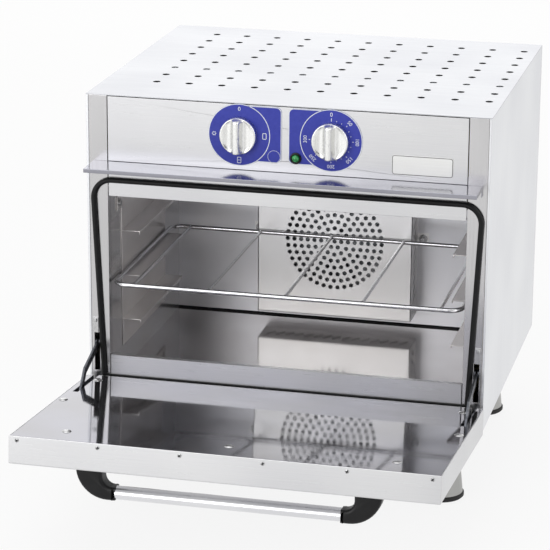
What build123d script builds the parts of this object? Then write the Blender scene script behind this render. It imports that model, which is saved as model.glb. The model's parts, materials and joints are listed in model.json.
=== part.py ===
from build123d import *
import os
from math import asin, atan2, cos, degrees, radians, sin

# Countertop convection oven with a drop-down door, lengths in millimetres.
# The pieces are drawn with x across the front (0 in the middle), y back from the front plane and
# z up from the underside of the body. At the end the whole oven is moved so that the origin lies
# on the surface it stands on, in the middle of its outline with the door open.

# Body
BODY_WIDTH = 600.0
BODY_DEPTH = 508.0
BODY_HEIGHT = 471.0
SHEET = 1.2
PILLAR_FACE = 28.0
SIDE_RETURN = 4.0
EDGE_FLANGE = 12.0
FIT_GAP = 0.3
SEAM = 1.2

# Feet
FOOT_HEIGHT = 130.0
FOOT_PAD_HEIGHT = 8.0
FOOT_PAD_RADIUS = 35.0
FOOT_BASE_RADIUS = 33.0
FOOT_TOP_RADIUS = 21.0
FOOT_INSET_X = 70.0
FOOT_INSET_Y = 62.0
STUD_RADIUS = 6.0
STUD_ABOVE_PAN = 10.0
NUT_WIDTH = 19.0
NUT_HEIGHT = 6.0

# Top vents
VENT_RADIUS = 4.8
VENT_SIDES = 8
VENT_PITCH = 50.0
VENT_COLUMNS = 11
VENT_ROWS = 8
VENT_INSET_X = 79.3
VENT_FIRST_Y = 100.0
BRACE_WIDTH = 22.0
BRACE_HEIGHT = 14.0
BRACE_Y = 200.0

# Control panel and canopy
PANEL_HEIGHT = 97.1
CANOPY_INSET = 11.0
CANOPY_REACH = 52.0
CANOPY_LIP = 6.0
CANOPY_UPSTAND = 12.0
DIAL_X = 68.0
DIAL_RISE = 52.2
DIAL_RADIUS = 46.0
DIAL_TAB_REACH = 62.8
DIAL_TAB_TOP = 44.0
DIAL_TAB_BOTTOM = 38.5
DIAL_TAB_CORNER = 8.0
DIAL_PLATE = 1.0
KNOB_RADIUS = 27.0
KNOB_SKIRT = 12.0
KNOB_HEIGHT = 25.0
KNOB_GRIP_WIDTH = 18.0
KNOB_GAP = 0.5
SHAFT_RADIUS = 3.0
SHAFT_PLAY = 0.08
SHAFT_HOLE_PLAY = 2.0
LAMP_OFFSET_X = 51.8
LAMP_RISE = 22.8
LAMP_BEZEL_RADIUS = 8.5
LAMP_LENS_RADIUS = 5.5
LAMP_LENS_STEPS = 3
LAMP_BODY_RADIUS = 5.0
LAMP_DEPTH = 24.0
BADGE_WIDTH = 89.0
BADGE_HEIGHT = 29.0
BADGE_INSET = 54.0
BADGE_RISE = 8.5
BADGE_CORNER = 4.0
BADGE_SHEET = 0.8

# Cavity
CAVITY_DEPTH = 384.0
CAVITY_FLOOR = 25.0
CEILING_DROP = 38.5
OPENING_DROP = 15.0
SILL_TOP = 70.0
SILL_DEPTH = 9.0
WOOL = 24.0
WOOL_SIDE = 26.0
WOOL_UNDER = 11.0
WOOL_START_Y = 116.0

# Fan, element and baffle
FAN_X = 3.5
FAN_RADIUS = 74.0
FAN_DEPTH = 34.0
FAN_BLADES = 12
FAN_HUB_RADIUS = 14.0
FAN_SHAFT_RADIUS = 4.0
FAN_REAR_GAP = 6.0
ELEMENT_RADIUS = 98.0
ELEMENT_TUBE = 4.2
TUBE_SIDES = 8
FULL_TURN = 360.0
ELEMENT_TURNS = 2
ELEMENT_PITCH = 22.0
BAFFLE_SIZE = 250.0
BAFFLE_DEPTH = 52.5
BAFFLE_LOW_SHARE = 0.39138
GRILLE_RINGS = 7
GRILLE_PITCH = 10.9
GRILLE_HOLE_RADIUS = 3.6
GRILLE_SIDES = 6
BAFFLE_SLOTS = 15
BAFFLE_SLOT_LENGTH = 22.0
BAFFLE_SLOT_WIDTH = 5.0
BAFFLE_SLOT_ANGLE = 35.0
MOTOR_RADIUS = 42.0
MOTOR_LENGTH = 72.0
MOTOR_STANDOFF = 30.0

# Racks and shelf
RACK_FRONT = 63.0
RACK_REAR = 297.0
RACK_BOTTOM = 64.0
RACK_CLEAR = 28.0
LEDGE_WIDTH = 28.0
LEDGE_LIP = 5.0
LEDGE_FIRST = 107.5
LEDGE_PITCH = 70.0
LEDGE_COUNT = 3
SHELF_PLAY = 0.5
SHELF_DEPTH = 331.0
SHELF_FRAME_DIAMETER = 7.0
SHELF_ROD_DIAMETER = 5.0
SHELF_ROD_COUNT = 5
SHELF_ROD_INSET = 34.0
SHELF_CORNER = 20.0
SHELF_FRONT_Y = -0.5

# Door, drawn closed and turned down about its hinge pins
DOOR_OVERHANG = 2.0
DOOR_THICKNESS = 40.3
DOOR_GAP = 7.5
DOOR_BOTTOM = 2.5
DOOR_TOP_GAP = 11.8
DOOR_OPEN_ANGLE = 84.7
DOOR_SHEET = 1.2
PIVOT_DEPTH = 19.6
PIVOT_RISE = 18.0
GASKET_THICKNESS = 7.0
GASKET_WIDTH = 8.0
GASKET_TOP_INSET = 9.5
GASKET_BOTTOM_INSET = 24.0
GASKET_RISE = 10.0
GASKET_BOTTOM = 40.0
GASKET_CORNER = 28.0

# Hinges and stays
HINGE_INSET = 12.0
HINGE_ARM = 5.0
HINGE_SLOT = 8.0
HINGE_EYE_RADIUS = 9.5
HINGE_PIN_RADIUS = 4.0
PIN_PLAY = 0.06
CHANNEL_SHEET = 2.5
CHANNEL_INNER = 9.0
CHANNEL_TOP = 106.0
HINGE_REAR = 52.0
STAY_PLATE = 3.0
STAY_HALF_WIDTH = 5.5
STAY_PIN_RISE = 80.0
STAY_PIN_DEPTH = 12.0
STAY_PIN_RADIUS = 3.0
STAY_KNEE = (-63.1, 64.6)
STAY_STOP_RADIUS = 6.0
STAY_STOP_WIDTH = 12.0
STAY_STOP_Z = 86.7
STAY_SLOT_BOTTOM = 44.0
STAY_SLOT_TOP = 104.0
ARM_SLOT_BOTTOM = 6.0
ARM_SLOT_TOP = 32.0
GUIDE_TOP = 128.0
GUIDE_SHEET = 1.5

# Handle
HANDLE_FROM_TOP = 47.0
HANDLE_HALF = 217.0
HANDLE_BAR_HALF = 159.0
HANDLE_STANDOFF = 41.0
HANDLE_BAR_DEPTH = 19.0
HANDLE_BAR_HEIGHT = 24.0
HANDLE_LEG_WIDTH = 39.0
HANDLE_BEND = 46.0
HANDLE_INNER_BEND = 14.0
HANDLE_BRACKET_HEIGHT = 26.0

# Cable gland and terminals
GLAND_INSET = 85.0
GLAND_Z = 60.0
GLAND_BORE = 5.5
GLAND_THREAD = 8.0
GLAND_NUT = 24.0
GLAND_REACH = 22.0
GLAND_INSIDE = 10.0

# Screws
SCREW_HEAD_RADIUS = 3.0
SCREW_HEAD_HEIGHT = 1.5
SCREW_SIDES = 12
SCREW_SLOPE = 25.0
RIM_SCREW_INSET = 12.0
RIM_SCREW_COUNT = 6
RIM_SCREW_DEPTH = 6.0

# Small sizes of single pieces
BACK_SLOT_LENGTH = 60.0
BACK_SLOT_WIDTH = 4.0
BACK_SLOT_PITCH = 12.0
BACK_SLOT_ROWS = 9
BACK_FIELD_X = 110.0
BACK_FIELD_Z = 200.0
GUSSET_DROP = 15.2
GUSSET_HEEL = 6.0
HEADER_FOLD = 15.0
ELEMENT_LEAD_X = 11.0
ELEMENT_TAIL = 15.0
EAR_REACH = 18.0
EAR_HALF = 9.0
NUT_DEPTH = 8.0
RACK_TAB = 22.0
PIN_HEAD = 2.5
PIN_HEAD_RADIUS = 5.0
WOOL_EDGE = 14.0
BLADE_ANGLE = 28.0
BLADE_LENGTH = 34.0
MOTOR_MOUNT = 116.0
MOTOR_BORE = 30.0
MOTOR_EDGE = 5.0
MOTOR_NOSE = 8.0
KNOB_EDGE = 2.0
KNOB_DRAFT = 0.8
KNOB_RIDGE = 3.5
SHAFT_IN_KNOB = 16.0
SWITCH_FRONT = 6.0
SWITCH_DEPTH = 34.0
SWITCH_WIDTH = 40.0
THERMOSTAT_WIDTH = 46.0
SWITCH_CORNER = 3.0
SWITCH_NECK = 8.0
SHAFT_IN_SWITCH = 12.0
BORE_ROOM = 1.0
TAG_WIDTH = 6.3
TAG_LENGTH = 9.0
LAMP_BEZEL_RISE = 3.0
LAMP_RECESS = 2.0
GLAND_HEX = 6.0
GLAND_CAP = 10.0
GLAND_LOCKNUT = 5.0
TERMINAL_OFFSET_X = 47.0
TERMINAL_WIDTH = 44.0
TERMINAL_HEIGHT = 26.0
TERMINAL_DEPTH = 20.0
TERMINAL_WAYS = 4
FOOT_COLLAR = 7.0
FOOT_CHAMFER = 2.0
FOOT_WALL = 1.5
FOOT_PAD_EDGE = 2.0
HINGE_NECK = 6.0
HINGE_PLATE_TOP = 31.0
HINGE_FOOT = 3.0
HINGE_FOOT_REACH = 14.0
PRESS_GAP = 0.01
PIN_END = 1.5
GUIDE_OFFSET_X = 2.0
GUIDE_WIDTH = 9.0
DOOR_EDGE = 2.0
INNER_FLANGE = 10.0
PANEL_SCREW_SIDE_INSET = 11.5
PANEL_SCREW_SIDE_RISE = 152.0
PANEL_SCREW_TOP_INSET = 69.0
PANEL_SCREW_TOP_DROP = 45.2
PANEL_SCREW_LOW_INSET = 26.0
PANEL_SCREW_LOW_RISE = 30.0
HANDLE_SOCKET = 10.0

# Sizes that follow from the ones above
HALF_WIDTH = BODY_WIDTH / 2
PILLAR_OUTER = HALF_WIDTH - SIDE_RETURN
PILLAR_INNER = PILLAR_OUTER - PILLAR_FACE
HALF_CAVITY = PILLAR_INNER
HALF_DOOR = HALF_WIDTH + DOOR_OVERHANG
COVER_UNDERSIDE = BODY_HEIGHT - SHEET
PANEL_BOTTOM = COVER_UNDERSIDE - SEAM - PANEL_HEIGHT
CANOPY_WIDTH = BODY_WIDTH - 2 * CANOPY_INSET
DIAL_Z = PANEL_BOTTOM + DIAL_RISE
LAMP_Z = PANEL_BOTTOM + LAMP_RISE
BADGE_X = HALF_WIDTH - BADGE_INSET - BADGE_WIDTH / 2
BADGE_Z = PANEL_BOTTOM + BADGE_RISE + BADGE_HEIGHT / 2
CANOPY_TOP = PANEL_BOTTOM - FIT_GAP
GUSSET_LOW = CANOPY_TOP - GUSSET_DROP
CAVITY_CEILING = PANEL_BOTTOM - CEILING_DROP
OPENING_TOP = CAVITY_CEILING - OPENING_DROP
BACK_INNER = BODY_DEPTH - SHEET
MOTOR_FRONT = CAVITY_DEPTH + SHEET + MOTOR_STANDOFF
ELEMENT_END = CAVITY_DEPTH + SHEET + WOOL + ELEMENT_TAIL
BAFFLE_FRONT = CAVITY_DEPTH - BAFFLE_DEPTH
ROOM_ROUND_BAFFLE = CAVITY_CEILING - CAVITY_FLOOR - BAFFLE_SIZE
FAN_Z = CAVITY_FLOOR + BAFFLE_LOW_SHARE * ROOM_ROUND_BAFFLE + BAFFLE_SIZE / 2
RACK_TOP = CAVITY_CEILING - RACK_CLEAR
RACK_INNER = HALF_CAVITY - FIT_GAP - SHEET
SHELF_WIDTH = 2 * (RACK_INNER - SHELF_PLAY)
SHELF_ROD_PITCH = (SHELF_WIDTH - 2 * SHELF_ROD_INSET) / (SHELF_ROD_COUNT - 1)
SHELF_Z = LEDGE_FIRST + LEDGE_PITCH + SHELF_FRAME_DIAMETER / 2
LAMP_X = DIAL_X - LAMP_OFFSET_X
GASKET_TOP = CAVITY_CEILING + GASKET_RISE
GASKET_TOP_HALF = HALF_WIDTH - GASKET_TOP_INSET
GASKET_BOTTOM_HALF = HALF_WIDTH - GASKET_BOTTOM_INSET
HINGE_X = HALF_WIDTH - HINGE_INSET
GUIDE_X = HINGE_X + GUIDE_OFFSET_X
DOOR_INNER_Y = -DOOR_GAP
DOOR_OUTER_Y = DOOR_INNER_Y - DOOR_THICKNESS
DOOR_TOP = PANEL_BOTTOM - DOOR_TOP_GAP
PIVOT_Y = DOOR_INNER_Y - PIVOT_DEPTH
PIVOT_Z = DOOR_BOTTOM + PIVOT_RISE
PANEL_SCREW_TOP_RISE = DOOR_TOP - DOOR_BOTTOM - PANEL_SCREW_TOP_DROP
RIM_SCREW_PITCH = 2 * (HALF_DOOR - RIM_SCREW_INSET) / (RIM_SCREW_COUNT - 1)
GLAND_X = HALF_WIDTH - GLAND_INSET
TERMINAL_X = GLAND_X - TERMINAL_OFFSET_X


def block(xs, ys, zs):
    """A block given by its span along each axis."""
    size = Box(xs[1] - xs[0], ys[1] - ys[0], zs[1] - zs[0])
    return Pos(sum(xs) / 2, sum(ys) / 2, sum(zs) / 2) * size


def rod(start, end, radius):
    """A round bar between two points."""
    axis = Vector(*end) - Vector(*start)
    base = Plane(origin=start, z_dir=axis)
    return base * Cylinder(radius, axis.length, align=(Align.CENTER, Align.CENTER, Align.MIN))


def across_front(sketch, y_front, depth):
    """A sketch drawn in x and z, extruded back from y_front."""
    plane = Plane(origin=(0, y_front, 0), x_dir=(1, 0, 0), z_dir=(0, -1, 0))
    return extrude(plane * sketch, amount=-depth)


def side_profile(sketch, x_low, width):
    """A sketch drawn in y and z, extruded towards +x from x_low."""
    plane = Plane(origin=(x_low, 0, 0), x_dir=(0, 1, 0), z_dir=(1, 0, 0))
    return extrude(plane * sketch, amount=width)


def folded(points, x_low, width, sheet=SHEET):
    """Sheet metal folded along a line of (y, z) points, extruded towards +x."""
    line = Polyline(*points)
    outline = offset(line, amount=sheet, side=Side.LEFT, kind=Kind.INTERSECTION)
    return side_profile(make_face(outline.edges()), x_low, width)


def on_both_sides(shape):
    """A shape on the right-hand side and its mirror image on the left."""
    return [shape, mirror(shape, about=Plane.YZ)]


def turned_down(shape):
    """A door piece drawn closed, in its place on the open door."""
    to_pivot = Pos(0, PIVOT_Y, PIVOT_Z)
    from_pivot = Pos(0, -PIVOT_Y, -PIVOT_Z)
    return to_pivot * Rot(DOOR_OPEN_ANGLE, 0, 0) * from_pivot * shape


def screw(x, y, z, direction):
    """A screw head on a face at (x, y, z), pointing out along direction."""
    seat = Plane(origin=(x, y, z), z_dir=direction)
    outline = RegularPolygon(SCREW_HEAD_RADIUS, SCREW_SIDES)
    return extrude(seat * outline, amount=SCREW_HEAD_HEIGHT, taper=SCREW_SLOPE)


def top_cover():
    """The flat top sheet with its field of vents."""
    sheet = block((-HALF_WIDTH, HALF_WIDTH), (0, BODY_DEPTH), (COVER_UNDERSIDE, BODY_HEIGHT))
    vent = RegularPolygon(VENT_RADIUS, VENT_SIDES)
    centre_x = VENT_INSET_X - HALF_WIDTH + VENT_PITCH * (VENT_COLUMNS - 1) / 2
    centre_y = VENT_FIRST_Y + VENT_PITCH * (VENT_ROWS - 1) / 2
    grid = GridLocations(VENT_PITCH, VENT_PITCH, VENT_COLUMNS, VENT_ROWS)
    field = Sketch() + [spot * vent for spot in grid]
    return sheet - extrude(Pos(centre_x, centre_y, COVER_UNDERSIDE) * field, amount=SHEET)


def cross_brace():
    """A channel under the top cover that stiffens it between the side panels."""
    front = BRACE_Y - BRACE_WIDTH / 2
    rear = BRACE_Y + BRACE_WIDTH / 2
    low = COVER_UNDERSIDE - BRACE_HEIGHT
    points = [(rear, low), (rear, COVER_UNDERSIDE), (front, COVER_UNDERSIDE), (front, low)]
    half = HALF_WIDTH - SHEET - FIT_GAP
    return folded(points, -half, 2 * half)


def side_panel():
    """The right side: a sheet with a narrow return at the front and a flange at the back."""
    front = (PILLAR_OUTER + FIT_GAP, 0)
    rear = (HALF_WIDTH - EDGE_FLANGE, BACK_INNER)
    points = [front, (HALF_WIDTH, 0), (HALF_WIDTH, BACK_INNER), rear]
    outline = offset(Polyline(*points), amount=SHEET, side=Side.LEFT, kind=Kind.INTERSECTION)
    return extrude(make_face(outline.edges()), amount=COVER_UNDERSIDE)


def back_panel():
    """The back sheet with two fields of cooling slots and the hole of the cable gland."""
    sheet = block((-HALF_WIDTH, HALF_WIDTH), (BACK_INNER, BODY_DEPTH), (0, COVER_UNDERSIDE))
    slots = GridLocations(0, BACK_SLOT_PITCH, 1, BACK_SLOT_ROWS)
    one = Rectangle(BACK_SLOT_LENGTH, BACK_SLOT_WIDTH)
    field = Sketch() + [spot * one for spot in slots]
    for x in (-BACK_FIELD_X, BACK_FIELD_X):
        sheet -= across_front(Pos(x, BACK_FIELD_Z) * field, BACK_INNER, SHEET)
    hole = Circle(GLAND_THREAD + FIT_GAP)
    return sheet - across_front(Pos(GLAND_X, GLAND_Z) * hole, BACK_INNER, SHEET)


def base_pan():
    """The bottom tray that ties the side panels together and carries the feet."""
    half = HALF_WIDTH - SHEET - FIT_GAP
    front = EDGE_FLANGE
    rear = BACK_INNER - SHEET - FIT_GAP
    pan = block((-half, half), (front, rear), (0, EDGE_FLANGE))
    pan -= block((-half + SHEET, half - SHEET), (front - 1, rear - SHEET), (SHEET, EDGE_FLANGE))
    for x, y in foot_places():
        pan -= Pos(x, y, SHEET / 2) * Cylinder(STUD_RADIUS + FIT_GAP, SHEET)
    return pan


def pillar():
    """The right front strip beside the opening, with the slots of the hinge arm and the stay."""
    points = [(PILLAR_OUTER, 0), (PILLAR_INNER, 0), (PILLAR_INNER, EDGE_FLANGE - FIT_GAP)]
    outline = offset(Polyline(*points), amount=SHEET, side=Side.RIGHT, kind=Kind.INTERSECTION)
    strip = extrude(make_face(outline.edges()), amount=COVER_UNDERSIDE)
    across = (HINGE_X - HINGE_SLOT / 2, HINGE_X + HINGE_SLOT / 2)
    strip -= block(across, (0, SHEET), (ARM_SLOT_BOTTOM, ARM_SLOT_TOP))
    return strip - block(across, (0, SHEET), (STAY_SLOT_BOTTOM, STAY_SLOT_TOP))


def control_panel():
    """The plate above the canopy, folded back at its top, with holes for the controls."""
    half = PILLAR_INNER - SEAM
    top = COVER_UNDERSIDE - SEAM
    points = [(EDGE_FLANGE, top), (0, top), (0, PANEL_BOTTOM)]
    panel = folded(points, -half, 2 * half)
    for x in (-DIAL_X, DIAL_X):
        hole = Pos(x, DIAL_Z) * Circle(SHAFT_RADIUS + SHAFT_HOLE_PLAY)
        panel -= across_front(hole, 0, SHEET)
    lamp = Pos(LAMP_X, LAMP_Z) * Circle(LAMP_BODY_RADIUS + FIT_GAP)
    return panel - across_front(lamp, 0, SHEET)


def canopy():
    """The ledge over the door: a folded sheet with a lip, end gussets and a tab behind the panel."""
    tab_y = SHEET + FIT_GAP
    low = CANOPY_TOP - CANOPY_LIP
    half = CANOPY_WIDTH / 2
    tab_top = CANOPY_TOP + CANOPY_UPSTAND
    points = [(tab_y, tab_top), (tab_y, CANOPY_TOP), (-CANOPY_REACH, CANOPY_TOP), (-CANOPY_REACH, low)]
    sheet = folded(points, -half, CANOPY_WIDTH)
    tab_half = PILLAR_INNER - FIT_GAP
    gusset_line = Polyline(
        (-CANOPY_REACH + SHEET, CANOPY_TOP - SHEET),
        (-FIT_GAP, CANOPY_TOP - SHEET),
        (-FIT_GAP, GUSSET_LOW),
        (-GUSSET_HEEL, GUSSET_LOW),
        (-GUSSET_HEEL, low),
        (-CANOPY_REACH + SHEET, low),
        close=True,
    )
    gusset = side_profile(make_face(gusset_line.edges()), half - SHEET, SHEET)
    for side in on_both_sides(block((tab_half, half), (-FIT_GAP, 2 * tab_y), (low, tab_top))):
        sheet -= side
    for side in on_both_sides(gusset):
        sheet += side
    return sheet


def front_header():
    """The strip between the canopy and the opening, folded back along its lower edge."""
    half = PILLAR_INNER - SEAM
    top = CANOPY_TOP - SHEET - FIT_GAP
    return folded([(0, top), (0, OPENING_TOP), (HEADER_FOLD, OPENING_TOP)], -half, 2 * half)


def door_sill():
    """The raised edge under the opening, folded down to the cavity floor and under the body."""
    half = PILLAR_INNER - SEAM
    xs = (-half, half)
    sill = block(xs, (0, SILL_DEPTH), (0, SILL_TOP))
    sill -= block(xs, (SHEET, SILL_DEPTH - SHEET), (SHEET, SILL_TOP - SHEET))
    sill -= block(xs, (SHEET, SILL_DEPTH), (SHEET, CAVITY_FLOOR))
    return sill


def cavity_wall():
    """The right wall of the cavity."""
    xs = (HALF_CAVITY, HALF_CAVITY + SHEET)
    return block(xs, (EDGE_FLANGE, CAVITY_DEPTH), (CAVITY_FLOOR - SHEET, CAVITY_CEILING + SHEET))


def cavity_sheet(low):
    """A floor or a ceiling between the cavity walls, with its underside at low."""
    start = SHEET + FIT_GAP
    return block((-HALF_CAVITY, HALF_CAVITY), (start, CAVITY_DEPTH), (low, low + SHEET))


def element_leads():
    """The x offset from the fan's axis and the front y of each lead of the heating element."""
    first = CAVITY_DEPTH - FAN_REAR_GAP - ELEMENT_PITCH * ELEMENT_TURNS
    turns = []
    for turn in range(ELEMENT_TURNS):
        turns.append((ELEMENT_LEAD_X * (turn + 1), first + ELEMENT_PITCH * (turn + 0.5)))
    return turns


def lead_height(offset_x):
    """The height of a lead that leaves the element's circle offset_x from its top."""
    return FAN_Z + (ELEMENT_RADIUS**2 - offset_x**2) ** 0.5


def cavity_rear():
    """The rear wall, with the holes of the fan shaft and of the element's leads."""
    half = HALF_CAVITY + SHEET
    ys = (CAVITY_DEPTH, CAVITY_DEPTH + SHEET)
    wall = block((-half, half), ys, (CAVITY_FLOOR - SHEET, CAVITY_CEILING + SHEET))
    holes = Pos(FAN_X, FAN_Z) * Circle(FAN_SHAFT_RADIUS + SHAFT_HOLE_PLAY)
    for offset_x, y in element_leads():
        for x in (-offset_x, offset_x):
            holes += Pos(FAN_X + x, lead_height(offset_x)) * Circle(ELEMENT_TUBE + FIT_GAP)
    return wall - across_front(holes, CAVITY_DEPTH, SHEET)


def grille():
    """The rings of holes in front of the fan, as one sketch about the fan's axis."""
    hole = RegularPolygon(GRILLE_HOLE_RADIUS, GRILLE_SIDES)
    holes = [hole]
    for ring in range(1, GRILLE_RINGS + 1):
        holes += [spot * hole for spot in PolarLocations(ring * GRILLE_PITCH, 6 * ring)]
    return Sketch() + holes


def baffle_slots(count):
    """A row of slanted slots for one flange of the baffle, along the sketch's y."""
    slot = Rot(0, 0, BAFFLE_SLOT_ANGLE) * Rectangle(BAFFLE_SLOT_LENGTH, BAFFLE_SLOT_WIDTH)
    pitch = BAFFLE_SIZE / (count + 1)
    return Sketch() + [spot * slot for spot in GridLocations(0, pitch, 1, count)]


def fan_baffle():
    """The shallow tray over the fan: a grille in front, slotted flanges and two fixing ears."""
    half = BAFFLE_SIZE / 2
    ys = (BAFFLE_FRONT, CAVITY_DEPTH)
    tray = block((-half, half), ys, (-half, half))
    hollow = (-half + SHEET, half - SHEET)
    tray -= block(hollow, (BAFFLE_FRONT + SHEET, CAVITY_DEPTH), hollow)
    tray -= across_front(grille(), BAFFLE_FRONT, SHEET)
    row = baffle_slots(BAFFLE_SLOTS)
    middle = BAFFLE_FRONT + BAFFLE_DEPTH / 2
    wall = Plane(origin=(-half, middle, 0), x_dir=(0, 1, 0), z_dir=(1, 0, 0))
    tray -= extrude(wall * row, amount=BAFFLE_SIZE)
    floor = Plane(origin=(0, middle, -half), x_dir=(0, 1, 0), z_dir=(0, 0, 1))
    tray -= extrude(floor * row, amount=BAFFLE_SIZE)
    ear = block((half, half + EAR_REACH), (CAVITY_DEPTH - SHEET, CAVITY_DEPTH), (-EAR_HALF, EAR_HALF))
    for side in on_both_sides(ear):
        tray += side
    return Pos(FAN_X, 0, FAN_Z) * tray


def baffle_nuts():
    """The two thumb nuts that hold the baffle's ears to the rear wall."""
    nuts = []
    for x in (-1, 1):
        centre = FAN_X + x * (BAFFLE_SIZE / 2 + EAR_REACH / 2)
        seat = CAVITY_DEPTH - SHEET
        nuts.append(rod((centre, seat - NUT_DEPTH, FAN_Z), (centre, seat, FAN_Z), EAR_HALF - 2))
    return nuts


def rack_plate():
    """The right rack's upright plate, hung a little off the wall, with a tab at the front."""
    outer = HALF_CAVITY - FIT_GAP
    ys = (RACK_FRONT, RACK_REAR)
    plate = block((outer - SHEET, outer), ys, (RACK_BOTTOM, RACK_TOP))
    tab = (RACK_FRONT - RACK_TAB, RACK_FRONT)
    return plate + block((outer - SHEET, outer), tab, (RACK_TOP - RACK_TAB, RACK_TOP))


def rack_ledges():
    """The ledges of the right rack: angles that carry a tray or the shelf."""
    inner = RACK_INNER
    edge = inner - LEDGE_WIDTH
    ledges = []
    for step in range(LEDGE_COUNT):
        z = LEDGE_FIRST + LEDGE_PITCH * step
        points = [(inner, z), (edge, z), (edge, z - LEDGE_LIP)]
        angle = offset(Polyline(*points), amount=SHEET, side=Side.LEFT, kind=Kind.INTERSECTION)
        ledges.append(across_front(make_face(angle.edges()), RACK_FRONT, RACK_REAR - RACK_FRONT))
    return ledges


def rack_pins():
    """The headed studs on the cavity walls that the racks hang on."""
    front = RACK_FRONT - RACK_TAB / 2
    low = RACK_BOTTOM + RACK_TAB / 2
    high = RACK_TOP - RACK_TAB / 2
    pins = []
    for y, z in ((front, high), (RACK_REAR - RACK_TAB / 2, high), (RACK_REAR - RACK_TAB / 2, low)):
        pins += on_both_sides(rod((RACK_INNER - PIN_HEAD, y, z), (RACK_INNER, y, z), PIN_HEAD_RADIUS))
    return pins


def shelf_frame():
    """The wire shelf's outer frame: one bar bent round four corners."""
    radius = SHELF_FRAME_DIAMETER / 2
    rectangle = RectangleRounded(SHELF_WIDTH - 2 * radius, SHELF_DEPTH - 2 * radius, SHELF_CORNER)
    path = Pos(0, SHELF_FRONT_Y + SHELF_DEPTH / 2, SHELF_Z) * rectangle.wire()
    start = Plane(origin=path @ 0, z_dir=path % 0)
    return sweep(start * Circle(radius), path=path)


def shelf_rods(frame):
    """The rods of the shelf, welded between the front and back bars."""
    front = SHELF_FRONT_Y + SHELF_FRAME_DIAMETER / 2
    rear = SHELF_FRONT_Y + SHELF_DEPTH - SHELF_FRAME_DIAMETER / 2
    rods = []
    for spot in GridLocations(SHELF_ROD_PITCH, 1, SHELF_ROD_COUNT, 1):
        x = spot.position.X
        rods.append(rod((x, front, SHELF_Z), (x, rear, SHELF_Z), SHELF_ROD_DIAMETER / 2) - frame)
    return rods


def door_gasket():
    """The door seal on the front face: over the opening and down both sides to the sill's foot."""
    low = GASKET_BOTTOM - GASKET_WIDTH
    corners = (
        (-GASKET_TOP_HALF, GASKET_TOP),
        (GASKET_TOP_HALF, GASKET_TOP),
        (GASKET_BOTTOM_HALF, low),
        (-GASKET_BOTTOM_HALF, low),
    )
    loop = make_face(Polyline(*corners, close=True).edges())
    loop = fillet(loop.vertices().group_by(Axis.Y)[-1], GASKET_CORNER)
    strip = offset(loop, amount=GASKET_WIDTH / 2) - offset(loop, amount=-GASKET_WIDTH / 2)
    strip -= Pos(0, GASKET_BOTTOM) * Rectangle(BODY_WIDTH, BODY_WIDTH, align=(Align.CENTER, Align.MAX))
    return across_front(strip, -GASKET_THICKNESS, GASKET_THICKNESS)


def body_wool():
    """Slabs of mineral wool over, under, beside and behind the cavity."""
    over = CAVITY_CEILING + SHEET + FIT_GAP
    under = CAVITY_FLOOR - SHEET - FIT_GAP
    rear = CAVITY_DEPTH + SHEET + FIT_GAP
    walls = HALF_CAVITY + SHEET + FIT_GAP
    bottom_half = HINGE_X - HINGE_FOOT_REACH - 3
    slabs = [
        block((-HALF_CAVITY, HALF_CAVITY), (WOOL_EDGE, CAVITY_DEPTH), (over, over + WOOL)),
        block((-bottom_half, bottom_half), (WOOL_EDGE, CAVITY_DEPTH), (under - WOOL_UNDER, under)),
    ]
    slabs += on_both_sides(
        block((walls, walls + WOOL_SIDE), (WOOL_START_Y, CAVITY_DEPTH), (CAVITY_FLOOR, CAVITY_CEILING))
    )
    back = block((-HALF_CAVITY, HALF_CAVITY), (rear, rear + WOOL), (CAVITY_FLOOR, CAVITY_CEILING))
    mount = MOTOR_MOUNT / 2 + FIT_GAP
    hatch = block((-mount, mount), (rear, rear + WOOL), (-mount, mount))
    back -= Pos(FAN_X, 0, FAN_Z) * hatch
    for offset_x, y in element_leads():
        for x in (-offset_x, offset_x):
            z = lead_height(offset_x)
            back -= rod((FAN_X + x, rear, z), (FAN_X + x, rear + WOOL, z), ELEMENT_TUBE + FIT_GAP)
    return slabs + [back]


def heating_element():
    """Round turns of sheathed heating tube about the fan, with straight leads to the back."""
    turns = []
    for offset_x, y in element_leads():
        z = lead_height(offset_x)
        start_angle = degrees(atan2(z - FAN_Z, offset_x))
        opening = 2 * degrees(asin(offset_x / ELEMENT_RADIUS))
        face = Plane(origin=(FAN_X, y, FAN_Z), x_dir=(1, 0, 0), z_dir=(0, -1, 0))
        path = face * CenterArc((0, 0), ELEMENT_RADIUS, start_angle, opening - FULL_TURN)
        start = Plane(origin=path @ 0, z_dir=path % 0)
        tube = sweep(start * RegularPolygon(ELEMENT_TUBE, TUBE_SIDES), path=path)
        elbow = 2 * ELEMENT_TUBE
        for x in (FAN_X - offset_x, FAN_X + offset_x):
            tube += Pos(x, y, z) * Box(elbow, elbow, elbow)
            lead = Plane(origin=(x, y, z), x_dir=(1, 0, 0), z_dir=(0, 1, 0))
            tube += extrude(lead * RegularPolygon(ELEMENT_TUBE, TUBE_SIDES), amount=ELEMENT_END - y)
        turns.append(tube)
    return turns


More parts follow.
